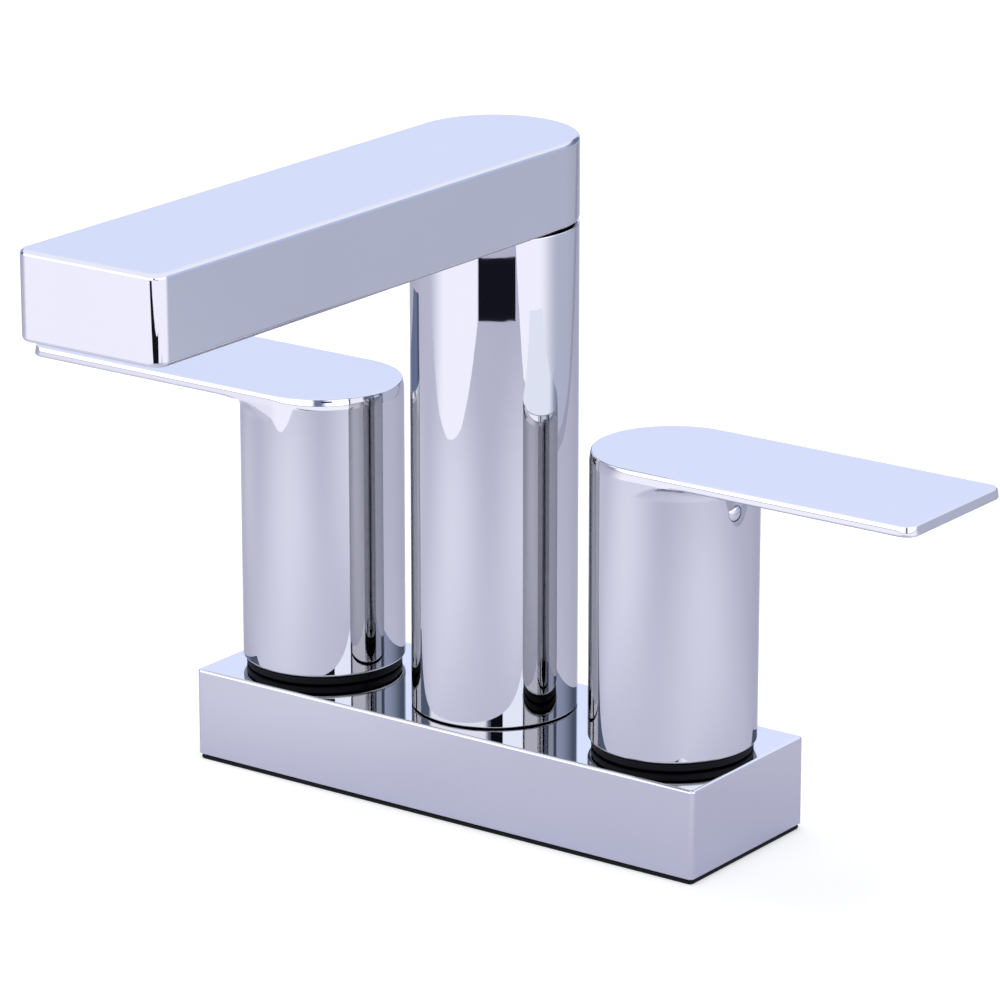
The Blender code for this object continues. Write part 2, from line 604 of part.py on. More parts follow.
def cartridge_body(side, home):
    """The brass cartridge: disc chamber with two windows, flange, neck and the tooth that stops the stem."""
    profile = [(CARTRIDGE_RADIUS, CARTRIDGE_FOOT), (CARTRIDGE_RADIUS, FLANGE_FOOT),
               (SPIGOT_RADIUS, FLANGE_FOOT), (SPIGOT_RADIUS, FLANGE_TOP), (NECK_RADIUS, FLANGE_TOP),
               (NECK_RADIUS, NECK_TOP), (STEM_BORE, NECK_TOP), (STEM_BORE, CHAMBER_TOP),
               (CHAMBER_RADIUS, CHAMBER_TOP), (CHAMBER_RADIUS, CARTRIDGE_FOOT)]
    body = turned(f"{side}_cartridge_body", profile, HIDDEN_STEPS, BRASS, home)
    inside = DISC_RADIUS - STOP_DEPTH + RUN_GAP
    tooth_foot = STEM_FLANGE_TOP - STOP_HEIGHT + SEAT_GAP
    tooth = prism(f"{side}_cartridge_body_tooth",
                  sector(inside, CHAMBER_RADIUS + CARTRIDGE_WALL / 2.0, 0.0, STOP_WIDTH / 2.0),
                  tooth_foot, CHAMBER_TOP + CARTRIDGE_WALL / 2.0, BRASS, home)
    combine(body, [tooth], "UNION")
    tools = []
    for number, middle in enumerate((0.0, math.pi)):
        window = sector(CHAMBER_RADIUS - CARTRIDGE_WALL, CARTRIDGE_RADIUS + CARTRIDGE_WALL, middle,
                        PORT_HALF_ANGLE)
        tools.append(prism(f"{side}_cartridge_body_window_{number}", window, TURNING_DISC_FOOT,
                           TURNING_DISC_TOP, BRASS, home))
    combine(body, tools, "DIFFERENCE")


def bonnet_nut(side, home):
    """The hexagon cap nut that clamps the cartridge's flange on the spigot."""
    hexagon = hexagon_ring(NUT_RADIUS, NUT_STEPS)
    bore = circle(NUT_BORE, NUT_STEPS)
    hole = circle(NECK_RADIUS + RUN_GAP, NUT_STEPS)
    foot = SPIGOT_TOP - BONNET_SKIRT
    inner_top = FLANGE_TOP + SEAT_GAP
    rings = [lift(hexagon, foot), lift(hexagon, BONNET_TOP), lift(hole, BONNET_TOP), lift(hole, inner_top),
             lift(bore, inner_top), lift(bore, foot)]
    skin(f"{side}_bonnet_nut", rings, BRASS, home, joined=True)


def turning_disc(side, home):
    """The upper ceramic disc: two notches a quarter turn from the ports, and a slot for the stem."""
    disc = turned(f"{side}_turning_disc", rod_profile(DISC_RADIUS, TURNING_DISC_FOOT, TURNING_DISC_TOP),
                  HIDDEN_STEPS, CERAMIC, home, False)
    tools = []
    for number, middle in enumerate((math.pi / 2.0, -math.pi / 2.0)):
        notch = sector(PORT_INNER_RADIUS, DISC_RADIUS + OVERRUN, middle, NOTCH_HALF_ANGLE)
        tools.append(prism(f"{side}_turning_disc_notch_{number}", notch, TURNING_DISC_FOOT - OVERRUN,
                           TURNING_DISC_TOP + OVERRUN, CERAMIC, home))
    slot = rounded_rectangle(2.0 * DISC_RADIUS + OVERRUN, DRIVE_TONGUE_WIDTH + 2.0 * RUN_GAP, RUN_GAP, 1)
    tools.append(prism(f"{side}_turning_disc_slot", slot, TURNING_DISC_TOP - DRIVE_SLOT_DEPTH,
                       TURNING_DISC_TOP + OVERRUN, CERAMIC, home))
    combine(disc, tools, "DIFFERENCE")


def stem(side, direction, home):
    """The valve stem: drive tongue, flange with the stop's gap, O-ring and clip grooves, splined top."""
    groove = STEM_RADIUS - STEM_GROOVE_DEPTH
    ring_foot = STEM_FLANGE_TOP + STEM_O_RING_RISE
    ring_top = ring_foot + STEM_O_RING_SECTION + 2.0 * O_RING_GAP
    clip = STEM_RADIUS - CLIP_GROOVE_DEPTH
    core = STEM_SPLINE_RADIUS - 2.0 * SPLINE_TOOTH
    profile = [(0.0, STEM_FOOT), (DISC_RADIUS, STEM_FOOT), (DISC_RADIUS, STEM_FLANGE_TOP),
               (STEM_RADIUS, STEM_FLANGE_TOP), (STEM_RADIUS, ring_foot), (groove, ring_foot),
               (groove, ring_top), (STEM_RADIUS, ring_top), (STEM_RADIUS, CLIP_FOOT - CLIP_PLAY),
               (clip, CLIP_FOOT - CLIP_PLAY), (clip, CLIP_TOP + CLIP_PLAY),
               (STEM_RADIUS, CLIP_TOP + CLIP_PLAY), (STEM_RADIUS, COLLAR_TOP), (core, COLLAR_TOP),
               (core, STEM_TOP - SPLINE_TOOTH), (0.0, STEM_TOP - SPLINE_TOOTH)]
    made = turned(f"{side}_stem", profile, HIDDEN_STEPS, BRASS, home, False)
    tongue = rounded_rectangle(2.0 * (DISC_RADIUS - 2.0 * RUN_GAP), DRIVE_TONGUE_WIDTH, RUN_GAP, 1)
    spline = splined(STEM_SPLINE_RADIUS - SPLINE_TOOTH, STEM_SPLINE_RADIUS, SPLINE_TEETH)
    added = [prism(f"{side}_stem_tongue", tongue, TURNING_DISC_TOP - DRIVE_SLOT_DEPTH + SEAT_GAP,
                   STEM_FOOT + STEM_FLANGE_HEIGHT / 4.0, BRASS, home),
             prism(f"{side}_stem_spline", spline, COLLAR_TOP - COLLAR_HEIGHT / 2.0, STEM_TOP, BRASS, home)]
    combine(made, added, "UNION")
    near = -STOP_WIDTH / 2.0 - STOP_GAP
    far = STOP_WIDTH / 2.0 + STOP_GAP + HANDLE_TRAVEL
    middle = direction * (near + far) / 2.0
    gap = sector(DISC_RADIUS - STOP_DEPTH, DISC_RADIUS + OVERRUN, middle, (far - near) / 2.0)
    combine(made, [prism(f"{side}_stem_gap", gap, STEM_FLANGE_TOP - STOP_HEIGHT, STEM_FLANGE_TOP + OVERRUN,
                         BRASS, home)], "DIFFERENCE")
    o_ring(f"{side}_stem_o_ring", groove + O_RING_GAP, STEM_O_RING_SECTION, ring_foot + O_RING_GAP,
           HIDDEN_STEPS, RUBBER, home)


def stem_clip(side, home):
    """The spring clip that holds the stem in the neck, open on one side."""
    inner = STEM_RADIUS - CLIP_GROOVE_DEPTH + CLIP_PLAY
    half_mouth = math.asin(CLIP_MOUTH / 2.0 / NECK_RADIUS)
    outline = sector(inner, NECK_RADIUS, math.pi / 2.0, math.pi - half_mouth)
    prism(f"{side}_stem_clip", outline, CLIP_FOOT, CLIP_TOP, STEEL, home)


def stem_adapter(side, home):
    """The piece that raises the stem to the handle: a splined socket below and a splined shank above."""
    profile = rod_profile(ADAPTER_SLEEVE_RADIUS, ADAPTER_FOOT, ADAPTER_SHOULDER)
    made = turned(f"{side}_stem_adapter", profile, HIDDEN_STEPS, BRASS, home, False)
    shank = splined(ADAPTER_SHANK_RADIUS - SPLINE_TOOTH, ADAPTER_SHANK_RADIUS, SPLINE_TEETH)
    combine(made, [prism(f"{side}_stem_adapter_shank", shank, ADAPTER_SHOULDER - OVERRUN, ADAPTER_TOP, BRASS,
                         home)], "UNION")
    socket = splined(ADAPTER_SOCKET - SPLINE_TOOTH, ADAPTER_SOCKET, SPLINE_TEETH)
    combine(made, [prism(f"{side}_stem_adapter_socket", socket, ADAPTER_FOOT - OVERRUN, STEM_TOP + SEAT_GAP,
                         BRASS, home)], "DIFFERENCE")


def handle(side, direction, home):
    """The handle: a deep cup whose top runs out into a flat lever, blended below by a fillet.

    The lever points along direction times +X. Its sides are flush with the round cup. Below the lever the
    cup flares: the flare is a circle that grows with height, cut off by the lever's own outline.
    """
    def outline(inset):
        flat = stadium(POST_RADIUS, LEVER_REACH, LEVER_TIP_ROUND, inset, HANDLE_STEPS)
        return [(direction * x, y) for x, y in flat]

    edge = [Vector(point) for point in outline(0.0)]
    inner_edge = [Vector(point) for point in outline(LEVER_EDGE_ROUND)]

    def round_ring(radius, height):
        return [(*(point.normalized() * radius), height) for point in edge]

    def flare(grown, height):
        return [(*(point.normalized() * min(POST_RADIUS + grown, point.length)), height) for point in edge]

    rings = [round_ring(CUP_RADIUS, CUP_CEILING), round_ring(CUP_RADIUS, HANDLE_FOOT)]
    for inset, rise in reversed(quarter(RIM_ROUND, RIM_STEPS)):
        rings.append(round_ring(POST_RADIUS - inset, HANDLE_FOOT + RIM_ROUND - rise))
    for out, up in quarter(1.0, FILLET_STEPS):
        rings.append(flare(FILLET_OUT * out, LEVER_FOOT - FILLET_DOWN * (1.0 - up)))
    # Where the flare stays inside the lever it meets the flat underside, which ends at a fine edge.
    underside = []
    for point, inner in zip(edge, inner_edge):
        kept = inner
        if inner.length < POST_RADIUS + FILLET_OUT:
            kept = point.normalized() * min(POST_RADIUS + FILLET_OUT, point.length)
        underside.append((*kept, LEVER_FOOT))
    rings.append(underside)
    rings.append(lift(outline(0.0), LEVER_FOOT + LEVER_EDGE_ROUND))
    for inset, rise in quarter(LEVER_TOP_ROUND, RIM_STEPS):
        rings.append(lift(outline(inset), HANDLE_TOP - LEVER_TOP_ROUND + rise))
    made = skin(f"{side}_handle", rings, CHROME, home)
    root = HANDLE_TOP_WALL / 4.0
    hub = turned(f"{side}_handle_hub", rod_profile(HUB_RADIUS, HUB_FOOT, CUP_CEILING + root), HIDDEN_STEPS,
                 CHROME, home, False)
    line = screw_line(direction)
    boss = turned(f"{side}_handle_boss",
                  rod_profile(SCREW_HOLE + SCREW_BOSS_WALL, HUB_BORE + HUB_WALL / 2.0,
                              CUP_RADIUS + HANDLE_WALL / 2.0),
                  SMALL_STEPS, CHROME, home, False, along=line)
    combine(made, [hub, boss], "UNION")
    bore = splined(HUB_BORE - SPLINE_TOOTH, HUB_BORE, SPLINE_TEETH)
    socket = prism(f"{side}_handle_bore", bore, HUB_FOOT - OVERRUN, ADAPTER_TOP + SEAT_GAP, CHROME, home)
    hole = turned(f"{side}_handle_screw_hole",
                  rod_profile(SCREW_HOLE, ADAPTER_SHANK_RADIUS / 2.0, POST_RADIUS + OVERRUN),
                  SMALL_STEPS, CHROME, home, False, along=line)
    combine(made, [socket, hole], "DIFFERENCE")


def screw_line(direction):
    """The set screw's line: from the handle's axis outwards, a little to the user's side of the lever."""
    way = Vector((direction * math.cos(SCREW_TURN), -math.sin(SCREW_TURN), 0.0))
    return (Vector((0.0, 0.0, SCREW_Z)), way)


def set_screw(side, direction, home):
    """The set screw under the lever, with its hexagon socket, and the plug that covers it."""
    line = screw_line(direction)
    tip = HUB_BORE
    end = tip + SET_SCREW_LENGTH
    made = turned(f"{side}_set_screw", rod_profile(SET_SCREW_RADIUS, tip, end), SMALL_STEPS, STEEL, home,
                  False, along=line)
    hex_socket(made, end, home, line)
    back = POST_RADIUS - PLUG_LENGTH
    profile = [(0.0, back), (SET_SCREW_RADIUS, back), (SET_SCREW_RADIUS, POST_RADIUS - PLUG_DOME),
               (SET_SCREW_RADIUS / 2.0, POST_RADIUS + PLUG_DOME / 2.0), (0.0, POST_RADIUS + PLUG_DOME)]
    turned(f"{side}_screw_plug", profile, SMALL_STEPS, CHROME, home, False, along=line)


def hex_socket(screw, end, home, line):
    """Cut a hexagon socket into the outer end of a grub screw."""
    profile = rod_profile(HEX_SOCKET_RADIUS, end - HEX_SOCKET_DEPTH, end + OVERRUN)
    combine(screw, [turned(f"{screw.name}_socket", profile, 6, STEEL, home, False, along=line)], "DIFFERENCE")


def column_sleeve():
    """The chrome column, with the ledge that the riser's flange pulls down and the groove in its foot."""
    top = COLUMN_TOP_ROUND
    foot = COLUMN_FOOT_ROUND
    groove_outer = POST_RADIUS - FOOT_GROOVE_LIP
    groove_inner = groove_outer - FOOT_O_RING_SECTION - 2.0 * O_RING_GAP
    groove_top = COLUMN_FOOT + FOOT_O_RING_SECTION + O_RING_GAP
    hole = RISER_RADIUS + LEDGE_HOLE_GAP
    profile = [(POST_RADIUS - foot, COLUMN_FOOT), (POST_RADIUS, COLUMN_FOOT + foot),
               (POST_RADIUS, COLUMN_TOP - top), (POST_RADIUS - top, COLUMN_TOP), (SLEEVE_BORE, COLUMN_TOP),
               (SLEEVE_BORE, LEDGE_TOP), (hole, LEDGE_TOP), (hole, LEDGE_FOOT), (SLEEVE_BORE, LEDGE_FOOT),
               (SLEEVE_BORE, COLUMN_FOOT), (groove_inner, COLUMN_FOOT), (groove_inner, groove_top),
               (groove_outer, groove_top), (groove_outer, COLUMN_FOOT)]
    turned("column_sleeve", profile, SHOWN_STEPS, CHROME, None)
    o_ring("column_seal_ring", groove_inner + O_RING_GAP, FOOT_O_RING_SECTION, COLUMN_FOOT, SHOWN_STEPS,
           RUBBER, None)


def riser_tube():
    """The brass riser: foot with an O-ring, flange, and the pivot with two O-rings and the lock slot."""
    foot_groove = RISER_RADIUS - RISER_O_RING_SECTION
    foot_ring = RISER_FOOT + RISER_O_RING_RISE
    foot_ring_top = foot_ring + RISER_O_RING_SECTION + 2.0 * O_RING_GAP
    groove = PIVOT_RADIUS - PIVOT_GROOVE_DEPTH
    profile = [(RISER_RADIUS, RISER_FOOT), (RISER_RADIUS, foot_ring), (foot_groove, foot_ring),
               (foot_groove, foot_ring_top), (RISER_RADIUS, foot_ring_top), (RISER_RADIUS, RISER_FLANGE_FOOT),
               (SLEEVE_BORE - RUN_GAP, RISER_FLANGE_FOOT), (SLEEVE_BORE - RUN_GAP, RISER_FLANGE_TOP),
               (PIVOT_RADIUS, RISER_FLANGE_TOP)]
    ring_height = PIVOT_O_RING_SECTION + 2.0 * O_RING_GAP
    upper_ring = PIVOT_TOP - PIVOT_O_RING_DROP
    ring_feet = [upper_ring - PIVOT_O_RING_PITCH, upper_ring]
    for low in ring_feet:
        profile += [(PIVOT_RADIUS, low), (groove, low), (groove, low + ring_height),
                    (PIVOT_RADIUS, low + ring_height)]
    profile += [(PIVOT_RADIUS, PIVOT_TOP), (RISER_BORE_RADIUS, PIVOT_TOP), (RISER_BORE_RADIUS, RISER_FOOT)]
    riser = turned("riser_tube", profile, HIDDEN_STEPS, BRASS, None)
    bottom = PIVOT_RADIUS - LOCK_SLOT_DEPTH
    half_angle = SPOUT_SWING + math.asin(LOCK_TIP_RADIUS / bottom) + STOP_GAP
    half_height = LOCK_TIP_RADIUS + RUN_GAP
    slot = prism("riser_tube_slot", sector(bottom, PIVOT_RADIUS + OVERRUN, math.pi / 2.0, half_angle),
                 LOCK_SCREW_Z - half_height, LOCK_SCREW_Z + half_height, BRASS, None)
    combine(riser, [slot], "DIFFERENCE")
    o_ring("riser_o_ring", foot_groove + O_RING_GAP, RISER_O_RING_SECTION, foot_ring + O_RING_GAP,
           HIDDEN_STEPS, RUBBER, None)
    for name, low in zip(("spout_o_ring_lower", "spout_o_ring_upper"), ring_feet):
        o_ring(name, groove + O_RING_GAP, PIVOT_O_RING_SECTION, low + O_RING_GAP, HIDDEN_STEPS, RUBBER, None)
    washer = tube_profile(PIVOT_SOCKET_BORE, SLEEVE_BORE - RUN_GAP, RISER_FLANGE_TOP + SEAT_GAP,
                          ARM_FOOT - SEAT_GAP)
    turned("spout_glide_washer", washer, HIDDEN_STEPS, WHITE_PLASTIC, None)


def spout_arm(home):
    """The arm: a box with a half-round back, cored out, with the pivot socket and the aerator's seat."""
    def plan(wall, corner, inset):
        flat = stadium(POST_RADIUS - wall, ARM_REACH - wall, corner, inset, ARM_STEPS)
        return [(y, -x) for x, y in flat]

    rings = []
    for inset, rise in reversed(quarter(ARM_BOTTOM_ROUND, EDGE_STEPS)):
        rings.append(lift(plan(0.0, ARM_CORNER_ROUND, inset), ARM_FOOT + ARM_BOTTOM_ROUND - rise))
    for inset, rise in quarter(ARM_TOP_ROUND, EDGE_STEPS):
        rings.append(lift(plan(0.0, ARM_CORNER_ROUND, inset), ARM_TOP - ARM_TOP_ROUND + rise))
    arm = skin("spout_arm", rings, CHROME, home)
    core = prism("spout_arm_core", plan(ARM_WALL, CAVITY_CORNER_ROUND, 0.0), CAVITY_FOOT, CAVITY_TOP,
                 CHROME, home)
    socket_top = PIVOT_TOP + PIVOT_HEAD_ROOM
    kept = [turned("spout_arm_socket", rod_profile(PIVOT_SOCKET_RADIUS, ARM_FOOT, socket_top), HIDDEN_STEPS,
                   CHROME, home, False),
            turned("spout_arm_seat", rod_profile(AERATOR_SEAT_RADIUS, ARM_FOOT, AERATOR_SEAT_TOP), HIDDEN_STEPS,
                   CHROME, home, False, (0.0, AERATOR_Y))]
    pad_half = LOCK_SCREW_RADIUS + RUN_GAP + LOCK_PAD_WALL
    pad = [(-pad_half, 0.0), (pad_half, 0.0), (pad_half, POST_RADIUS), (-pad_half, POST_RADIUS)]
    kept.append(prism("spout_arm_pad", pad, ARM_FOOT, LOCK_SCREW_Z + pad_half, CHROME, home))
    combine(core, kept, "DIFFERENCE")
    stepped = [(0.0, ARM_FOOT - OVERRUN), (AERATOR_BORE, ARM_FOOT - OVERRUN), (AERATOR_BORE, AERATOR_LEDGE_FOOT),
               (AERATOR_BORE - AERATOR_LEDGE_WIDTH, AERATOR_LEDGE_FOOT),
               (AERATOR_BORE - AERATOR_LEDGE_WIDTH, AERATOR_SEAT_TOP + OVERRUN),
               (0.0, AERATOR_SEAT_TOP + OVERRUN)]
    bores = [core,
             turned("spout_arm_pivot_bore", rod_profile(PIVOT_SOCKET_BORE, ARM_FOOT - OVERRUN,
                                                        socket_top + OVERRUN), HIDDEN_STEPS, CHROME, home, False),
             turned("spout_arm_aerator_bore", stepped, HIDDEN_STEPS, CHROME, home, False, (0.0, AERATOR_Y)),
             turned("spout_arm_screw_hole",
                    rod_profile(LOCK_SCREW_RADIUS + RUN_GAP, PIVOT_RADIUS / 2.0, POST_RADIUS + OVERRUN),
                    SMALL_STEPS, CHROME, home, False, along=lock_line())]
    combine(arm, bores, "DIFFERENCE")


def lock_line():
    """The lock screw's line, from the pivot's axis straight back."""
    return (Vector((0.0, 0.0, LOCK_SCREW_Z)), Vector((0.0, 1.0, 0.0)))


def spout_lock_screw(home):
    """The grub screw in the back of the arm; its tip runs in the riser's slot."""
    line = lock_line()
    tip = PIVOT_RADIUS - LOCK_SLOT_DEPTH + RUN_GAP
    root = PIVOT_SOCKET_BORE + RUN_GAP
    end = POST_RADIUS - LOCK_SCREW_SINK
    profile = [(0.0, tip), (LOCK_TIP_RADIUS, tip), (LOCK_TIP_RADIUS, root), (LOCK_SCREW_RADIUS, root),
               (LOCK_SCREW_RADIUS, end), (0.0, end)]
    made = turned("spout_lock_screw", profile, SMALL_STEPS, STEEL, home, False, along=line)
    hex_socket(made, end, home, line)


def aerator(home):
    """The flush aerator: threaded shell, honeycomb insert and washer."""
    centre = (0.0, AERATOR_Y)
    inner = AERATOR_RADIUS - AERATOR_WALL
    lip = inner - AERATOR_LIP
    profile = [(AERATOR_RADIUS, AERATOR_FOOT), (AERATOR_RADIUS, AERATOR_TOP), (inner, AERATOR_TOP),
               (inner, AERATOR_FOOT + AERATOR_LIP), (lip, AERATOR_FOOT + AERATOR_LIP), (lip, AERATOR_FOOT)]
    turned("aerator_shell", profile, HIDDEN_STEPS, CHROME, home, True, centre)
    washer_foot = AERATOR_TOP + SEAT_GAP
    turned("aerator_washer", tube_profile(inner, AERATOR_RADIUS, washer_foot,
                                          washer_foot + AERATOR_WASHER_THICKNESS),
           HIDDEN_STEPS, RUBBER, home, True, centre)
    low = AERATOR_FOOT + AERATOR_LIP + SEAT_GAP
    high = AERATOR_TOP - INSERT_TOP_GAP
    radius = inner - RUN_GAP
    insert = turned("aerator_insert", rod_profile(radius, low, high), HIDDEN_STEPS, WHITE_PLASTIC, home,
                    False, centre)
    flat_pitch = 2.0 * CELL_RADIUS * math.cos(math.pi / 6.0) + CELL_WEB
    shape = bmesh.new()
    reach = int(radius / flat_pitch) + 1
    for row in range(-reach, reach + 1):
        for column in range(-reach, reach + 1):
            x = flat_pitch * (column + row / 2.0)
            y = flat_pitch * row * math.sin(math.pi / 3.0)
            if math.hypot(x, y) + CELL_RADIUS + CELL_WEB > radius:
                continue
            place = Matrix.Translation((x, y + AERATOR_Y, (low + high) / 2.0))
            bmesh.ops.create_cone(shape, cap_ends=True, segments=6, radius1=CELL_RADIUS, radius2=CELL_RADIUS,
                                  depth=high - low + 2.0 * OVERRUN, matrix=place)
    combine(insert, [finish("aerator_insert_cells", shape, WHITE_PLASTIC, home)], "DIFFERENCE")


base_cover()
base_gasket()
waterway_body()
column_sleeve()
riser_tube()
spout_axis = home_at("spout_axis", 0.0)
spout_arm(spout_axis)
spout_lock_screw(spout_axis)
aerator(spout_axis)
for side_name, toward in (("hot", -1.0), ("cold", 1.0)):
    place_x = toward * HANDLE_PITCH / 2.0
    valve(side_name, home_at(f"{side_name}_valve_place", place_x))
    handle_axis = home_at(f"{side_name}_handle_axis", place_x)
    turning_disc(side_name, handle_axis)
    stem(side_name, toward, handle_axis)
    stem_clip(side_name, handle_axis)
    stem_adapter(side_name, handle_axis)
    handle(side_name, toward, handle_axis)
    set_screw(side_name, toward, handle_axis)
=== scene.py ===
# %% [markdown]
# # A centerset bathroom faucet in polished chrome
#
# The faucet has a long flat base, two handles whose cups run out into flat levers, and a round column
# that carries a level, box-shaped arm. Everything that shows is chrome, so almost all of its look is
# reflection: the surfaces have to be truly smooth and the edges truly rounded, and the studio round the
# faucet matters as much as the faucet. The lesson first loads the model's fixed frame, then makes the fine
# surfaces, then the finishes, and last the studio.

import json
import math

import bmesh
import bpy
import numpy as np
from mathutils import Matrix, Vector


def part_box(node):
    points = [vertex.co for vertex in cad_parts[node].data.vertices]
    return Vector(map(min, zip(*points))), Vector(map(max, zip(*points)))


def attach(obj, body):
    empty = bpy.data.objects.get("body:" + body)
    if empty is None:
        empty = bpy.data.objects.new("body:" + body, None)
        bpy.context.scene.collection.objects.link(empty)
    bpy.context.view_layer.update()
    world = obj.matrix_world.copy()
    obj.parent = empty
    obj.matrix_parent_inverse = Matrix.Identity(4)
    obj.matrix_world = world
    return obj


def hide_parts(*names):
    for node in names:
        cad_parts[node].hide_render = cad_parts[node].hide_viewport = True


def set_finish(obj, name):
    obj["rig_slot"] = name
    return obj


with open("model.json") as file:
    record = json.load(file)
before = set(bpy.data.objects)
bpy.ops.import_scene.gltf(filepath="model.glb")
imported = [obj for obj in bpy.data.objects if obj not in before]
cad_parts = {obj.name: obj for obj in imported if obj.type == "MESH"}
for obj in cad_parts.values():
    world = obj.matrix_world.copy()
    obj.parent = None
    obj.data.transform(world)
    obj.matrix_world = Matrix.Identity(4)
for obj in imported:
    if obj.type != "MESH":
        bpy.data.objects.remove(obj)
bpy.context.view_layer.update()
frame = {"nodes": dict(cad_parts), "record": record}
nodes = frame["nodes"]

# %% [markdown]
# ## Sizes that come from the frame
#
# The solids give every place and size, so nothing is typed twice: a node's box has the column's radius, the
# handles' axes and the arm's reach in it. All lengths are in metres, X runs to the cold handle, the spout
# points along -Y and Z is up. What both sides share is made in one loop, with a direction of -1 or 1.

# %% Read the sizes
base_low, base_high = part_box("base_cover")
column_low, column_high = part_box("column_sleeve")
arm_low, arm_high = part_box("spout_arm")
handle_low, handle_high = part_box("cold_handle")
post_radius = column_high.x
handle_x = handle_low.x + post_radius
lever_reach = handle_high.x - handle_x
print(f"posts {post_radius * 2000:.1f} mm across, handle axes {handle_x * 2000:.1f} mm apart")
print(f"lever reach {lever_reach * 1000:.1f} mm, arm reach {-arm_low.y * 1000:.1f} mm")

SIDES = (("hot", -1.0), ("cold", 1.0))
ORIGIN = (0.0, 0.0, 0.0)
UP = (0.0, 0.0, 1.0)


def handle_axis(direction, height=0.0):
    """A point on a handle's axis; the direction is -1 for the hot side and 1 for the cold side."""
    return (direction * handle_x, 0.0, height)


# %% [markdown]
# ## Skins of rings
#
# Each fine surface here is a stack of rings with equally many points: ring by ring along a profile, point by
# point round an outline. The rings are whole numpy arrays, and the faces between them follow from counting,
# so one function serves every piece. A skin ends in flat caps, or its last ring joins its first, as in a
# tube. The mesh then has its doubles merged and its faces turned outwards.

# %% Skin helper
MERGE = 1e-7


def band_faces(rings, count):
    """Quads between neighbouring rings: point, next point, and the same two one ring further on."""
    ring, point = np.meshgrid(np.arange(rings - 1), np.arange(count), indexing="ij")
    here = ring * count + point
    after = ring * count + (point + 1) % count
    return np.stack([here, after, after + count, here + count], axis=-1).reshape(-1, 4)


def skin(name, rings, joined=False):
    """A mesh object from rings, an array of ring x point x 3. Joined, the last ring meets the first."""
    rings = np.asarray(rings, dtype=float)
    if joined:
        rings = np.concatenate([rings, rings[:1]])
    rows, count = rings.shape[:2]
    faces = band_faces(rows, count).tolist()
    if not joined:
        faces.append(list(range(count))[::-1])
        faces.append(list(range((rows - 1) * count, rows * count)))
    mesh = bpy.data.meshes.new(name)
    mesh.from_pydata(rings.reshape(-1, 3), [], faces)
    shape = bmesh.new()
    shape.from_mesh(mesh)
    bmesh.ops.remove_doubles(shape, verts=shape.verts, dist=MERGE)
    bmesh.ops.recalc_face_normals(shape, faces=shape.faces)
    shape.to_mesh(mesh)
    shape.free()
    made = bpy.data.objects.new(name, mesh)
    bpy.context.scene.collection.objects.link(made)
    return made


# %% [markdown]
# ## Outlines
#
# Seen from above the faucet has three kinds of outline: a circle, a rectangle with rounded corners, and the
# stadium that the handles and the arm share, half round at one end and cut square at the other. Each one
# takes an inset that moves its points square to the edge, so that a row of insets rounds an edge over, and
# outlines of one kind match point for point. Arcs are cosines and sines of an even row of angles. A wall with
# soft edges is a row of insets and heights: first up its rounded foot, then over its rounded top.

# %% Outlines as arrays
def arc(centre, radius, start, end, steps):
    """Points of an arc, both ends included: centre + radius * (cos, sin) of evenly spaced angles."""
    angle = np.linspace(start, end, steps + 1)
    return np.stack([centre[0] + radius * np.cos(angle), centre[1] + radius * np.sin(angle)], axis=-1)


def plate(length, depth, corner, inset, steps):
    """A rectangle with rounded corners, drawn in by the inset."""
    quarter = math.pi / 2.0
    corners = []
    for turn, (x, y) in enumerate(((1, 1), (-1, 1), (-1, -1), (1, -1))):
        centre = (x * (length / 2.0 - corner), y * (depth / 2.0 - corner))
        corners.append(arc(centre, corner - inset, turn * quarter, (turn + 1) * quarter, steps))
    return np.concatenate(corners)


def stadium(radius, reach, corner, inset, back_steps, side_steps, corner_steps, end_steps):
    """Half round about the origin, straight sides along +X, square end with rounded corners.

    The side points lie at even angles about the origin, so a round post below the sides stays round.
    """
    edge = radius - inset
    turn = math.pi / 2.0
    side_angle = np.linspace(turn, math.atan2(radius, reach - corner), side_steps + 1)[1:-1]
    side = np.stack([radius / np.tan(side_angle), np.full(side_angle.shape, edge)], axis=-1)
    bend = arc((reach - corner, radius - corner), corner - inset, turn, 0.0, corner_steps)
    end_y = np.linspace(radius - corner, corner - radius, end_steps + 1)[1:-1]
    end = np.stack([np.full(end_y.shape, reach - inset), end_y], axis=-1)
    flip = np.array([1.0, -1.0])
    back = arc((0.0, 0.0), edge, -turn, -3.0 * turn, back_steps)
    return np.concatenate([side, bend, end, bend[::-1] * flip, side[::-1] * flip, back])


def lift(outline, height):
    """An outline at a height, as one ring."""
    return np.column_stack([outline, np.full(len(outline), height)])


def quarter_round(radius, steps):
    """Steps over a rounded edge: how far in, radius * (1 - cos), and how far up, radius * sin."""
    angle = np.linspace(0.0, math.pi / 2.0, steps + 1)
    return np.stack([radius * (1.0 - np.cos(angle)), radius * np.sin(angle)], axis=-1)


def soft_foot(low, edge, steps):
    """Insets and heights up a rounded foot, from inset = edge at the underside to inset = 0 at the wall."""
    return [(inset, low + edge - rise) for inset, rise in quarter_round(edge, steps)[::-1]]


def soft_top(high, edge, steps):
    """Insets and heights over a rounded top, from inset = 0 at the wall to inset = edge on the top."""
    return [(inset, high - edge + rise) for inset, rise in quarter_round(edge, steps)]


# %% [markdown]
# ## Turned pieces
#
# The column, the rings, the screws and the aerator's shell are turned on a lathe in the real faucet. Here a
# profile of radius and height is carried round an axis: every profile point becomes a circle. A Screw
# modifier would do the same, but the arrays leave nothing to merge and can stand along any direction.

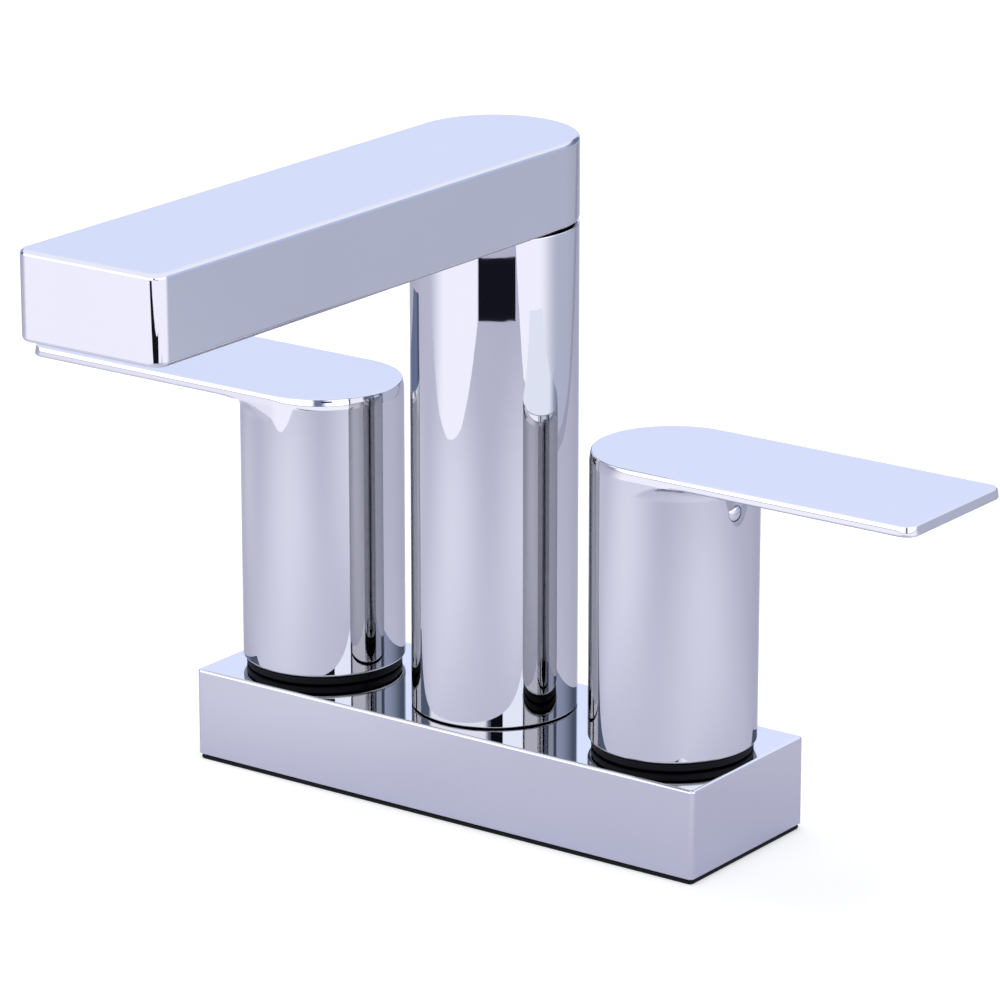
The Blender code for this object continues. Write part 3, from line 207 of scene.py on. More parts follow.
# %% Turned helper
def turned(name, profile, steps, joined=True, centre=ORIGIN, along=UP):
    """Carry a profile of (radius, height) round the line through centre along a direction.

    Each point is centre + radius * (cosine * across + sine * third) + height * along.
    """
    profile = np.asarray(profile, dtype=float)
    axis = np.asarray(along, dtype=float)
    across = np.array([0.0, 0.0, 1.0]) if abs(axis[2]) < 0.5 else np.array([1.0, 0.0, 0.0])
    across = across - axis * across.dot(axis)
    across /= np.linalg.norm(across)
    third = np.cross(axis, across)
    angle = np.linspace(0.0, 2.0 * math.pi, steps, endpoint=False)
    around = np.cos(angle)[:, None] * across + np.sin(angle)[:, None] * third
    rings = profile[:, 0, None, None] * around[None] + profile[:, 1, None, None] * axis + np.asarray(centre)
    return skin(name, rings, joined)


def rod(low, high, radius):
    """The profile of a plain cylinder, which is capped at both ends."""
    return [(radius, low), (radius, high)]


# %% [markdown]
# ## Cutting and polishing
#
# Bores, cups and cores are cut with an exact Boolean, all tools at once, as a casting is cored and then
# drilled. The result is kept as a mesh and the tools are thrown away. Polished metal shows the smallest
# error in its shading: if the wide flat faces shared their normals with the narrow rounded edges, a mirror
# face would look bent. So edges over thirty degrees are sharp, and a Weighted Normal modifier lets the
# large faces decide the normals of the points that they share with the roundings.

# %% Boolean and finish helpers
SHARP = math.radians(30.0)
LARGE_FACES_DECIDE = 100


def carve(target, cut=(), add=()):
    """Add solids to the target, cut others out of it, and keep the result as its mesh."""
    tools = list(add) + list(cut)
    for operation, solids in (("UNION", add), ("DIFFERENCE", cut)):
        if not solids:
            continue
        group = bpy.data.collections.new(f"{target.name}_{operation.lower()}")
        for solid in solids:
            group.objects.link(solid)
        step = target.modifiers.new(operation, "BOOLEAN")
        step.operation = operation
        step.solver = "EXACT"
        step.operand_type = "COLLECTION"
        step.collection = group
    depsgraph = bpy.context.evaluated_depsgraph_get()
    mesh = bpy.data.meshes.new_from_object(target.evaluated_get(depsgraph))
    target.modifiers.clear()
    target.data = mesh
    for tool in tools:
        bpy.data.objects.remove(tool, do_unlink=True)
    return target


def polished(piece, slot, body, *replaced):
    """Shade a finished piece, hang it on its body and let it stand for its CAD nodes."""
    piece.data.shade_smooth()
    piece.data.set_sharp_from_angle(angle=SHARP)
    weighted = piece.modifiers.new("weighted_normals", "WEIGHTED_NORMAL")
    weighted.weight = LARGE_FACES_DECIDE
    weighted.keep_sharp = True
    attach(piece, body)
    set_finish(piece, slot)
    if replaced:
        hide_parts(*replaced)
    fine_pieces.append(piece)
    print(f"{piece.name}: {len(piece.data.polygons)} faces")
    return piece


fine_pieces = []

# %% [markdown]
# ## The base
#
# The real base is a zinc casting: a long box, hollow below, with crisp but not sharp edges, polished and
# plated. Its rings run from the ceiling of the hollow down the inside wall, round the foot, up the outside
# and over the top edge. That is one skin with a cap on each end, and three round holes let the valves and
# the column's boss through. The edge is a true quarter round, because it is what draws the bright line
# round the top of the base.

# %% Base cover
EDGE_STEPS = 8
FOOT_STEPS = EDGE_STEPS // 2
BASE_WALL = 0.0025
BASE_EDGE = 0.0007
BASE_FOOT_EDGE = 0.0002
BASE_CORNER = 0.0012
HOLE_STEPS = 96
SMALL_HOLE_STEPS = HOLE_STEPS // 2
SPIGOT_HOLE = 0.012
BOSS_HOLE = 0.013


def base_outline(inset, wall=0.0):
    """The base seen from above, drawn in by an inset."""
    size = base_high - base_low
    return plate(size.x - 2.0 * wall, size.y - 2.0 * wall, BASE_CORNER, inset, EDGE_STEPS)


ceiling = base_high.z - BASE_WALL
rings = [lift(base_outline(0.0, BASE_WALL), ceiling), lift(base_outline(0.0, BASE_WALL), base_low.z)]
wall = soft_foot(base_low.z, BASE_FOOT_EDGE, FOOT_STEPS) + soft_top(base_high.z, BASE_EDGE, EDGE_STEPS)
rings += [lift(base_outline(inset), height) for inset, height in wall]
base = skin("base_shell", rings)
holes = []
for x, radius in ((-handle_x, SPIGOT_HOLE), (0.0, BOSS_HOLE), (handle_x, SPIGOT_HOLE)):
    holes.append(turned("hole", rod(ceiling - BASE_WALL, base_high.z + BASE_WALL, radius), HOLE_STEPS, False,
                        (x, 0.0, 0.0)))
polished(carve(base, cut=holes), "polished_chrome", "base", "base_cover")

# %% [markdown]
# ## The gasket
#
# A thin black foam gasket seals the base to the basin and shows as a dark line under it. It is a plate with
# softly rounded sides and a window round each inlet. The rounding takes up a share of half its thickness.

# %% Gasket
gasket_low, gasket_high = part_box("base_gasket")
GASKET_WINDOW = 0.0145
GASKET_ROUND = 0.6


def gasket_outline(inset):
    """The gasket seen from above."""
    return plate(gasket_high.x - gasket_low.x, gasket_high.y - gasket_low.y, BASE_CORNER, inset, EDGE_STEPS)


half_thickness = (gasket_high.z - gasket_low.z) / 2.0
bulge = quarter_round(half_thickness * GASKET_ROUND, FOOT_STEPS)
rings = [lift(gasket_outline(inset), gasket_low.z + half_thickness - rise) for inset, rise in bulge[::-1]]
rings += [lift(gasket_outline(inset), gasket_high.z - half_thickness + rise) for inset, rise in bulge]
rings[0][:, 2] = gasket_low.z
rings[-1][:, 2] = gasket_high.z
gasket = skin("gasket_foam", rings)
windows = []
for side, direction in SIDES:
    windows.append(turned("window", rod(-half_thickness, gasket_high.z + half_thickness, GASKET_WINDOW),
                          HOLE_STEPS, False, handle_axis(direction)))
polished(carve(gasket, cut=windows), "black_rubber", "base", "base_gasket")

# %% [markdown]
# ## The column
#
# The column is a drawn and turned tube: a plain wall outside, a ledge inside on which the riser's flange
# sits, and a groove in the foot for its seal. Its wall has to be perfectly round, since the tall bright and
# dark bands on it are the studio itself, so it gets many narrow faces.

# %% Column sleeve
ROUND_STEPS = 192
COLUMN_WALL = 0.003
COLUMN_TOP_EDGE = 0.0003
COLUMN_FOOT_EDGE = 0.0003
LEDGE_TOP_DROP = 0.0059
LEDGE_THICKNESS = 0.0032
LEDGE_RADIUS = 0.0125
GROOVE_LIP = 0.0008
GROOVE_WIDTH = 0.0014
GROOVE_HEIGHT = 0.0012

foot, top = column_low.z, column_high.z
bore = post_radius - COLUMN_WALL
outer_groove = post_radius - GROOVE_LIP
inner_groove = outer_groove - GROOVE_WIDTH
ledge_top = top - LEDGE_TOP_DROP
ledge_foot = ledge_top - LEDGE_THICKNESS
wall = soft_foot(foot, COLUMN_FOOT_EDGE, FOOT_STEPS) + soft_top(top, COLUMN_TOP_EDGE, EDGE_STEPS)
profile = [(post_radius - inset, height) for inset, height in wall]
profile += [(bore, top), (bore, ledge_top), (LEDGE_RADIUS, ledge_top), (LEDGE_RADIUS, ledge_foot)]
profile += [(bore, ledge_foot), (bore, foot), (inner_groove, foot), (inner_groove, foot + GROOVE_HEIGHT)]
profile += [(outer_groove, foot + GROOVE_HEIGHT), (outer_groove, foot)]
polished(turned("column_tube", profile, ROUND_STEPS), "polished_chrome", "base", "column_sleeve")

# %% [markdown]
# ## The spout's arm
#
# The arm is a box with a half-round back, as wide as the column, cast hollow with a core. The skin goes up
# over its edges; the core is the same outline drawn in by the wall, with two posts left standing in it: the
# socket that turns on the column's pivot, and the seat of the aerator. The bores of both and the hole of the
# lock screw in the back go through afterwards.

# %% Arm
ARM_STEPS = (96, 24, 10, 12)
ARM_CORNER = 0.0035
ARM_TOP_EDGE = 0.0013
ARM_BOTTOM_EDGE = 0.0012
ARM_WALL = 0.0026
CORE_CORNER = 0.001
PIVOT_BORE = 0.0113
PIVOT_POST = 0.0141
PIVOT_POST_HEIGHT = 0.0135
AERATOR_BORE = 0.0105
AERATOR_POST = 0.0125
AERATOR_LEDGE = 0.0085
AERATOR_LEDGE_FOOT = 0.0099
AERATOR_POST_HEIGHT = 0.0114
LOCK_HOLE = 0.002
LOCK_HEIGHT = 0.0045
LOCK_PAD = 0.0045
OVERRUN = 0.001
BACKWARDS = (0.0, 1.0, 0.0)

arm_foot, arm_top = arm_low.z, arm_high.z
aerator_low, aerator_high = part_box("aerator_shell")
aerator_axis = (0.0, (aerator_low.y + aerator_high.y) / 2.0, 0.0)


def arm_outline(inset, wall=0.0, corner=ARM_CORNER):
    """The arm seen from above, pointing along -Y."""
    flat = stadium(post_radius - wall, -arm_low.y - wall, corner, inset, *ARM_STEPS)
    return np.column_stack([flat[:, 1], -flat[:, 0]])


wall = soft_foot(arm_foot, ARM_BOTTOM_EDGE, EDGE_STEPS) + soft_top(arm_top, ARM_TOP_EDGE, EDGE_STEPS)
arm = skin("spout_casting", [lift(arm_outline(inset), height) for inset, height in wall])
core_outline = arm_outline(0.0, ARM_WALL, CORE_CORNER)
core = skin("core", [lift(core_outline, arm_foot + ARM_WALL), lift(core_outline, arm_top - ARM_WALL)])
pad = np.array([(-LOCK_PAD, 0.0), (LOCK_PAD, 0.0), (LOCK_PAD, post_radius), (-LOCK_PAD, post_radius)])
pivot_post_top = arm_foot + PIVOT_POST_HEIGHT
aerator_post_top = arm_foot + AERATOR_POST_HEIGHT
posts = [turned("post", rod(arm_foot, pivot_post_top, PIVOT_POST), HOLE_STEPS, False),
         turned("post", rod(arm_foot, aerator_post_top, AERATOR_POST), HOLE_STEPS, False, aerator_axis),
         skin("pad", [lift(pad, arm_foot), lift(pad, arm_foot + LOCK_HEIGHT + LOCK_PAD)])]
carve(core, cut=posts)
ledge_z = arm_foot + AERATOR_LEDGE_FOOT
stepped = rod(arm_foot - OVERRUN, ledge_z, AERATOR_BORE)
stepped += rod(ledge_z, aerator_post_top + OVERRUN, AERATOR_LEDGE)
pivot_rod = rod(arm_foot - OVERRUN, pivot_post_top + OVERRUN, PIVOT_BORE)
lock_rod = rod(PIVOT_BORE / 2.0, post_radius + OVERRUN, LOCK_HOLE)
lock_centre = (0.0, 0.0, arm_foot + LOCK_HEIGHT)
bores = [core,
         turned("bore", pivot_rod, HOLE_STEPS, False),
         turned("bore", stepped, HOLE_STEPS, False, aerator_axis),
         turned("bore", lock_rod, SMALL_HOLE_STEPS, False, lock_centre, BACKWARDS)]
polished(carve(arm, cut=bores), "polished_chrome", "spout", "spout_arm")

# %% [markdown]
# ## The handles
#
# Each handle is one casting. The rings start at the ceiling of the cup, run down its inside and round the
# rim, climb the round outside, flare out under the lever, cross to the lever's edge and close over its flat
# top. Seen from above every ring is the lever's own stadium outline, pulled in to a circle where the handle
# is round: radius = min(circle, outline). That one formula makes the sides of the lever run flush into the
# cup and ends the flare in the V that shows below the lever. The lever's sides are crowned by a third of a
# millimetre, as polishing leaves them, and its free part is drawn in underneath, which makes it look thin.

# %% Handle castings
HANDLE_STEPS = (96, 48, 12, 24)
LEVER_THICKNESS = 0.0026
LEVER_CORNER = 0.0035
LEVER_UNDER_IN = 0.0012
LEVER_UNDER_UP = 0.0006
LEVER_TOP_EDGE = 0.0003
LEVER_CROWN = (0.00017, 0.00016)
CROWN_STEPS = 8
FLARE_OUT = 0.003
FLARE_DOWN = 0.0041
FLARE_STEPS = 14
WALL_STEPS = 10
RIM_EDGE = 0.0007
CUP_WALL = 0.002
CUP_TOP_WALL = 0.004
HUB_RADIUS = 0.0086
HUB_DROP = 0.0313
HUB_BORE = 0.0059
HUB_BORE_TOP = 0.0057
SPLINE_TEETH = 8
SPLINE_TOOTH = 0.0006
SPLINE_SHARES = (0.0, 0.35, 0.5, 0.85)
SCREW_DROP = 0.0106
SCREW_TURN = math.radians(12.0)
SCREW_HOLE = 0.00195
SCREW_BOSS = 0.0042

rim_z, handle_top = handle_low.z, handle_high.z
lever_foot = handle_top - LEVER_THICKNESS
cup_ceiling = handle_top - CUP_TOP_WALL


def splined(root, tip, teeth):
    """A splined bore: for each tooth two points on the root circle and two on the tip circle."""
    angle = ((np.arange(teeth)[:, None] + np.array(SPLINE_SHARES)) * 2.0 * math.pi / teeth).ravel()
    radius = np.tile([root, root, tip, tip], teeth)
    return np.stack([radius * np.cos(angle), radius * np.sin(angle)], axis=-1)


def screw_way(direction):
    """The set screw's direction: along the lever, turned a little towards the user."""
    return np.array([direction * math.cos(SCREW_TURN), -math.sin(SCREW_TURN), 0.0])


def handle(side, direction):
    """One handle, with its lever along direction * X.

    Pulled in, a ring is the lever's outline cut to a circle: radius = min(circle, distance of the outline).
    Crowned, a lever's side moves in by a * share + b * share squared, with share its part of the height.
    """
    edge = stadium(post_radius, lever_reach, LEVER_CORNER, 0.0, *HANDLE_STEPS)
    length = np.linalg.norm(edge, axis=1)
    unit = edge / length[:, None]

    def pulled_in(radius, height):
        return lift(unit * np.minimum(radius, length)[:, None], height)

    def drawn_in(inset, height):
        return lift(stadium(post_radius, lever_reach, LEVER_CORNER, inset, *HANDLE_STEPS), height)

    inside = post_radius - CUP_WALL
    rings = [pulled_in(inside, cup_ceiling), pulled_in(inside, rim_z)]
    for inset, height in soft_foot(rim_z, RIM_EDGE, EDGE_STEPS):
        rings.append(pulled_in(post_radius - inset, height))
    for height in np.linspace(rim_z + RIM_EDGE, lever_foot - FLARE_DOWN, WALL_STEPS + 1)[1:-1]:
        rings.append(pulled_in(post_radius, height))
    for out, up in quarter_round(1.0, FLARE_STEPS):
        rings.append(pulled_in(post_radius + FLARE_OUT * out, lever_foot - FLARE_DOWN * (1.0 - up)))
    widest = post_radius + FLARE_OUT
    free = np.clip((length - widest) / FLARE_OUT, 0.0, 1.0)[:, None]
    wall = handle_top - LEVER_TOP_EDGE - lever_foot

    def crowned(height):
        share = (height - lever_foot) / wall
        return LEVER_CROWN[0] * share + LEVER_CROWN[1] * share ** 2

    for inset, rise in quarter_round(1.0, EDGE_STEPS)[::-1]:
        height = lever_foot + LEVER_UNDER_UP * (1.0 - rise)
        rings.append(drawn_in(crowned(height), height) * (1.0 - free)
                     + drawn_in(crowned(height) + LEVER_UNDER_IN * inset, height) * free)
    for height in np.linspace(lever_foot + LEVER_UNDER_UP, handle_top - LEVER_TOP_EDGE, CROWN_STEPS + 1)[1:]:
        rings.append(drawn_in(crowned(height), height))
    for inset, height in soft_top(handle_top, LEVER_TOP_EDGE, EDGE_STEPS)[1:]:
        rings.append(drawn_in(sum(LEVER_CROWN) + inset, height))
    place = handle_axis(direction)
    rings = np.array(rings) * np.array([direction, 1.0, 1.0]) + np.array(place)
    casting = skin(f"{side}_casting", rings)
    way = screw_way(direction)
    screw_centre = handle_axis(direction, handle_top - SCREW_DROP)
    hub_foot = handle_top - HUB_DROP
    overlap = CUP_WALL / 2.0
    hub = turned("hub", rod(hub_foot, cup_ceiling + overlap, HUB_RADIUS), HOLE_STEPS, False, place)
    boss_rod = rod(HUB_RADIUS - overlap, inside + overlap, SCREW_BOSS)
    boss = turned("boss", boss_rod, SMALL_HOLE_STEPS, False, screw_centre, way)
    bore = splined(HUB_BORE - SPLINE_TOOTH, HUB_BORE, SPLINE_TEETH) + np.array(place[:2])
    socket = skin("socket", [lift(bore, hub_foot - OVERRUN), lift(bore, handle_top - HUB_BORE_TOP)])
    hole_rod = rod(HUB_BORE / 2.0, post_radius + OVERRUN, SCREW_HOLE)
    hole = turned("hole", hole_rod, SMALL_HOLE_STEPS, False, screw_centre, way)
    return carve(casting, cut=[socket, hole], add=[hub, boss])


for side, direction in SIDES:
    polished(handle(side, direction), "polished_chrome", f"{side}_lever", f"{side}_handle")

# %% [markdown]
# ## Small turned pieces
#
# A black glide ring lies between each handle and the base, and a small domed plug covers each set screw.
# Under the arm sits the aerator: a chromed shell with a slim lip round its plastic insert. All of them could
# be cut from cylinders, but a turned profile has its soft edges from the start.

# %% Rings, plugs and shell
GLIDE_BORE = 0.016
GLIDE_EDGE = 0.0003
PLUG_RADIUS = 0.0019
PLUG_LENGTH = 0.0035
PLUG_DOME = 0.0003
DOME_STEPS = 6
SHELL_WALL = 0.0016
SHELL_LIP = 0.0012
SHELL_EDGE = 0.0003


def soft_ring(inner, outer, low, high, edge):
    """The profile of a ring with rounded outer edges."""
    wall = soft_foot(low, edge, FOOT_STEPS) + soft_top(high, edge, FOOT_STEPS)
    return [(outer - inset, height) for inset, height in wall] + [(inner, high), (inner, low)]


for side, direction in SIDES:
    ring_low, ring_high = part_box(f"{side}_glide_ring")
    ring_radius = (ring_high.x - ring_low.x) / 2.0
    ring = turned(f"{side}_glide", soft_ring(GLIDE_BORE, ring_radius, ring_low.z, ring_high.z, GLIDE_EDGE),
                  ROUND_STEPS, True, handle_axis(direction))
    polished(ring, "black_plastic", "base", f"{side}_glide_ring")
    dome = quarter_round(1.0, DOME_STEPS)[:-1]
    profile = [(PLUG_RADIUS, post_radius - PLUG_LENGTH)]
    profile += [(PLUG_RADIUS * (1.0 - share), post_radius - PLUG_DOME + 2.0 * PLUG_DOME * rise)
                for share, rise in dome]
    plug = turned(f"{side}_plug", profile, SMALL_HOLE_STEPS, False,
                  handle_axis(direction, handle_top - SCREW_DROP), screw_way(direction))
    polished(plug, "polished_chrome", f"{side}_lever", f"{side}_screw_plug")

shell_radius = (aerator_high.x - aerator_low.x) / 2.0
inner = shell_radius - SHELL_WALL
lip = inner - SHELL_LIP
lip_top = aerator_low.z + SHELL_LIP
foot_edge = soft_foot(aerator_low.z, SHELL_EDGE, FOOT_STEPS)
profile = [(shell_radius - inset, height) for inset, height in foot_edge]
profile += [(shell_radius, aerator_high.z), (inner, aerator_high.z), (inner, lip_top), (lip, lip_top)]
profile += [(lip + inset, height) for inset, height in foot_edge[::-1]]
shell = turned("aerator_ring", profile, HOLE_STEPS, True, aerator_axis)
polished(shell, "polished_chrome", "spout", "aerator_shell")

# %% [markdown]
# ## Shader maths in Python
#
# A finish is a formula over the surface: a haze here, a little more roughness there. The class below wraps
# one output socket, so that such a formula is written as Python arithmetic and each sign adds a Math node.
# Every other node comes from one method, which sets the node up first and then fills its sockets.

# %% Socket class
class Signal:
    """One output socket of a node tree; plus, minus and times build Math nodes."""

    def __init__(self, tree, socket=None):
        self.tree = tree
        self.socket = socket

    def node(self, kind, output, settings=None, sockets=None):
        """Add a node, set it up, fill its sockets with values or signals and return one output."""
        added = self.tree.nodes.new(kind)
        for key, value in (settings or {}).items():
            if key == "stops":
                first, last = added.color_ramp.elements
                first.position, first.color = value[0]
                last.position, last.color = value[1]
            else:
                setattr(added, key, value)
        for key, value in (sockets or {}).items():
            if isinstance(value, Signal):
                self.tree.links.new(value.socket, added.inputs[key])
            else:
                added.inputs[key].default_value = value
        return Signal(self.tree, added.outputs[output])

    def maths(self, operation, first, second):
        """One Math node."""
        return self.node("ShaderNodeMath", 0, {"operation": operation}, {0: first, 1: second})

    def __add__(self, other):
        return self.maths("ADD", self, other)

    __radd__ = __add__

    def __sub__(self, other):
        return self.maths("SUBTRACT", self, other)

    def __mul__(self, other):
        return self.maths("MULTIPLY", self, other)

    __rmul__ = __mul__


# %% [markdown]
# ## Finishes
#
# Plated chrome is a mirror with a cool tint. It is never quite even: handling leaves a faint haze that is
# a little rougher, and the polished casting below waves by a hair, which makes straight reflections
# tremble slightly. Both come from noise on Object coordinates, so that they stay where they are when a
# handle turns. A real mirror also turns a little darker just before its outline instead of brighter, so the
# metal's tint at a grazing look is set below white. The brass, steel, rubber, plastics and ceramic inside get
# the same treatment with their own colours, grain and gloss.

# %% Material helper
def finish(name, colour, second, metallic, roughness, spread, scale, relief, relief_scale, stretch=(1, 1, 1),
           sheen=0.5, graze=1.0):
    """A Principled material with two tints, uneven roughness and fine relief, each from noise.

    Tint = colour blended to second by the cloud; roughness = roughness + spread * (cloud - 0.5).
    """
    material = bpy.data.materials.new(name)
    material.use_nodes = True
    tree = material.node_tree
    shader = tree.nodes["Principled BSDF"]
    root = Signal(tree)
    place = root.node("ShaderNodeTexCoord", "Object")
    place = root.node("ShaderNodeMapping", "Vector", {}, {"Vector": place, "Scale": stretch})
    cloud = root.node("ShaderNodeTexNoise", "Fac", {}, {"Vector": place, "Scale": scale, "Detail": 3.0})
    grain = root.node("ShaderNodeTexNoise", "Fac", {},
                      {"Vector": place, "Scale": relief_scale, "Detail": 2.0})
    tint = root.node("ShaderNodeMix", 2, {"data_type": "RGBA"},
                     {0: cloud, 6: (*colour, 1.0), 7: (*second, 1.0)})
    rough = roughness + spread * (cloud - 0.5)
    bump = root.node("ShaderNodeBump", "Normal", {}, {"Height": grain, "Strength": 1.0, "Distance": relief})
    tree.links.new(tint.socket, shader.inputs["Base Color"])
    tree.links.new(rough.socket, shader.inputs["Roughness"])
    tree.links.new(bump.socket, shader.inputs["Normal"])
    shader.inputs["Metallic"].default_value = metallic
    shader.inputs["Specular IOR Level"].default_value = sheen
    shader.inputs["Specular Tint"].default_value = (graze, graze, graze, 1.0)
    material.diffuse_color = (*colour, 1.0)
    return material


FINISHES = {
    "polished_chrome": finish(
        "mirror_chrome", (0.55, 0.55, 0.555), (0.565, 0.565, 0.57), metallic=1.0, roughness=0.012,
        spread=0.01, scale=40.0, relief=0.000003, relief_scale=150.0, graze=0.68),
    "brass": finish(
        "machined_brass", (0.72, 0.52, 0.24), (0.80, 0.60, 0.30), metallic=1.0, roughness=0.30,
        spread=0.15, scale=120.0, relief=0.00001, relief_scale=2500.0, stretch=(1, 1, 6)),
    "stainless_steel": finish(
        "plain_steel", (0.56, 0.56, 0.57), (0.64, 0.64, 0.64), metallic=1.0, roughness=0.28,
        spread=0.1, scale=300.0, relief=0.00001, relief_scale=3000.0),
    "black_rubber": finish(
        "foam_rubber", (0.008, 0.008, 0.009), (0.02, 0.02, 0.022), metallic=0.0, roughness=0.65,
        spread=0.2, scale=400.0, relief=0.00005, relief_scale=2500.0, sheen=0.1),
    "black_plastic": finish(
        "satin_plastic", (0.004, 0.004, 0.006), (0.007, 0.007, 0.010), metallic=0.0, roughness=0.5,
        spread=0.1, scale=200.0, relief=0.00002, relief_scale=1500.0, sheen=0.1),
    "white_plastic": finish(
        "moulded_plastic", (0.80, 0.80, 0.77), (0.86, 0.86, 0.83), metallic=0.0, roughness=0.4,
        spread=0.1, scale=300.0, relief=0.00002, relief_scale=1500.0),
    "valve_ceramic": finish(
        "lapped_ceramic", (0.88, 0.86, 0.81), (0.93, 0.91, 0.87), metallic=0.0, roughness=0.12,
        spread=0.06, scale=500.0, relief=0.000005, relief_scale=3000.0),
}
slot_of = {entry["node"]: entry["material_slot"] for entry in frame["record"]["subparts"]}
for name, node in nodes.items():
    node.data.materials.clear()
    node.data.materials.append(FINISHES[slot_of[name]])
for piece in fine_pieces:
    piece.data.materials.clear()
    piece.data.materials.append(FINISHES[piece["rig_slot"]])
print("finishes:", ", ".join(sorted(FINISHES)))

# %% [markdown]
# ## Floor
#
# The photograph shows the faucet on seamless white. A wide plain floor takes the soft shadow that seats the
# object. For the camera alone the floor gets a little light of its own, just enough to lift the open floor
# to white, so that the lamps can stay at a plain level. In the chrome the floor shows a painted cool tint and
# a few painted pools of light, one in front of each handle, one beside the hot handle and one under the
# base's
# front: the floor glows with them for reflections only, and no lamp casts them. Each pool is a centre, a
# radius and a strength.

# %% Floor
FLOOR_SIZE = 6.0
FLOOR_COLOUR = (0.72, 0.72, 0.73, 1.0)
FLOOR_LIFT = 0.48
# Painted light: a cool tint and pools of light that the floor gives off for glossy rays only; no lamp makes
# them.
PAINTED_COOL = (0.115, 0.125, 0.345, 1.0)
PAINTED_POOLS = (((-0.085, -0.235, 0.0), 0.25, 0.35), ((0.24, -0.06, 0.0), 0.25, 0.30),
         ((-0.29, 0.02, 0.0), 0.17, 0.20), ((-0.03, -0.04, 0.0), 0.22, 0.14))


def stage_plate(name, corners, material):
    """A flat plate with the given corners that belongs to the studio, not to the object."""
    mesh = bpy.data.meshes.new(name)
    mesh.from_pydata(corners, [], [tuple(range(len(corners)))])
    mesh.materials.append(material)
    plate_object = bpy.data.objects.new(name, mesh)
    bpy.context.scene.collection.objects.link(plate_object)
    return plate_object


def shader_tree(name):
    """An empty material with its output node and the signal class bound to its tree."""
    material = bpy.data.materials.new(name)
    material.use_nodes = True
    material.node_tree.nodes.clear()
    output = material.node_tree.nodes.new("ShaderNodeOutputMaterial")
    return material, Signal(material.node_tree), output


floor_material, root, output = shader_tree("white_floor")
seen = root.node("ShaderNodeLightPath", "Is Camera Ray")
mirrored = root.node("ShaderNodeLightPath", "Is Glossy Ray")
place = root.node("ShaderNodeTexCoord", "Object")
# Painted pools of light: a glow that fades out from each centre, seen only in reflections.
painted_pools = 0.0
for centre, radius, strength in PAINTED_POOLS:
    distance = root.node("ShaderNodeVectorMath", "Value", {"operation": "DISTANCE"}, {0: place, 1: centre})
    painted_pools = painted_pools + strength * root.node("ShaderNodeMapRange", "Result", {"interpolation_type": "SMOOTHSTEP"},
                                         {"Value": distance, "From Min": radius, "From Max": 0.0})
paper = root.node("ShaderNodeBsdfDiffuse", 0, {}, {"Color": FLOOR_COLOUR})
# The floor's own glow: the even lift for the camera, plus the painted pools and the painted cool tint, which
# only reflections see.
glow = root.node("ShaderNodeEmission", 0, {}, {"Strength": seen * FLOOR_LIFT + mirrored * painted_pools})
painted_cool = root.node("ShaderNodeEmission", 0, {}, {"Color": PAINTED_COOL, "Strength": mirrored})
white = root.node("ShaderNodeAddShader", 0, {}, {0: paper, 1: glow})
white = root.node("ShaderNodeAddShader", 0, {}, {0: white, 1: painted_cool})
root.tree.links.new(white.socket, output.inputs["Surface"])
corners = np.array([(-1, -1), (1, -1), (1, 1), (-1, 1)]) * FLOOR_SIZE
stage_plate("floor", lift(corners, 0.0), floor_material)

# %% [markdown]
# ## Cards for the chrome to reflect
#
# A mirror has no colour of its own, so a photographer lays white, grey and black cards round a chrome
# object. With the camera looking down at seventeen degrees, every upright face looks back down at the table
# some three to six hand widths away, and that is where the cards lie. The white one at the left front makes
# the bright end of the arm and the pale lobe on the column, the black one towards the camera makes the
# crisp dark window on the column, and a second white and a grey one lie to the right. A darker strip at the
# edge of the grey card draws the thin line down the column's right side, and a black strip beyond the black
# card draws the line on the corner of the arm. A small black card stands between the faucet and the camera.
# It makes the dark spots that the base's top shows before the column and the handles, where one mirror looks
# into another and then at the camera. The cards show in reflections only and light nothing.

# %% Cards
CARD_HEIGHT = 0.0004
cards = []


def card(name, outline, colour, fade=None, standing=None):
    """A glowing card for reflections, laid as an outline or standing on a line between two heights.

    Fade is a direction and how nearly it must be met, first and full: the card shows by the smooth step of
    direction . way between the two. Laid cards lie a hair above each other, so that the later one wins.
    """
    material, root, output = shader_tree(name)
    glow = root.node("ShaderNodeEmission", 0, {}, {"Color": (*colour, 1.0), "Strength": 1.0})
    if fade:
        way, start, full = fade
        place = root.node("ShaderNodeTexCoord", "Object")
        place = root.node("ShaderNodeVectorMath", "Vector", {"operation": "NORMALIZE"}, {0: place})
        along = root.node("ShaderNodeVectorMath", "Value", {"operation": "DOT_PRODUCT"}, {0: place, 1: way})
        shown = root.node("ShaderNodeMapRange", "Result", {"interpolation_type": "SMOOTHSTEP"},
                          {"Value": along, "From Min": start, "From Max": full})
        clear = root.node("ShaderNodeBsdfTransparent", 0)
        glow = root.node("ShaderNodeMixShader", 0, {}, {0: shown, 1: clear, 2: glow})
    root.tree.links.new(glow.socket, output.inputs["Surface"])
    cards.append(name)
    outline = np.asarray(outline, dtype=float)
    if standing:
        corners = np.concatenate([lift(outline, standing[0]), lift(outline[::-1], standing[1])])
    else:
        corners = lift(outline, CARD_HEIGHT * len(cards))
    placed = stage_plate(name, corners, material)
    placed.visible_camera = False
    placed.visible_diffuse = False
    placed.visible_shadow = False


def ring_arc(radius, start, end, steps):
    """Points about the column; the angles count from the user's side towards the cold handle."""
    angle = np.radians(np.linspace(start, end, steps + 1))
    return radius * np.stack([np.sin(angle), -np.cos(angle)], axis=-1)


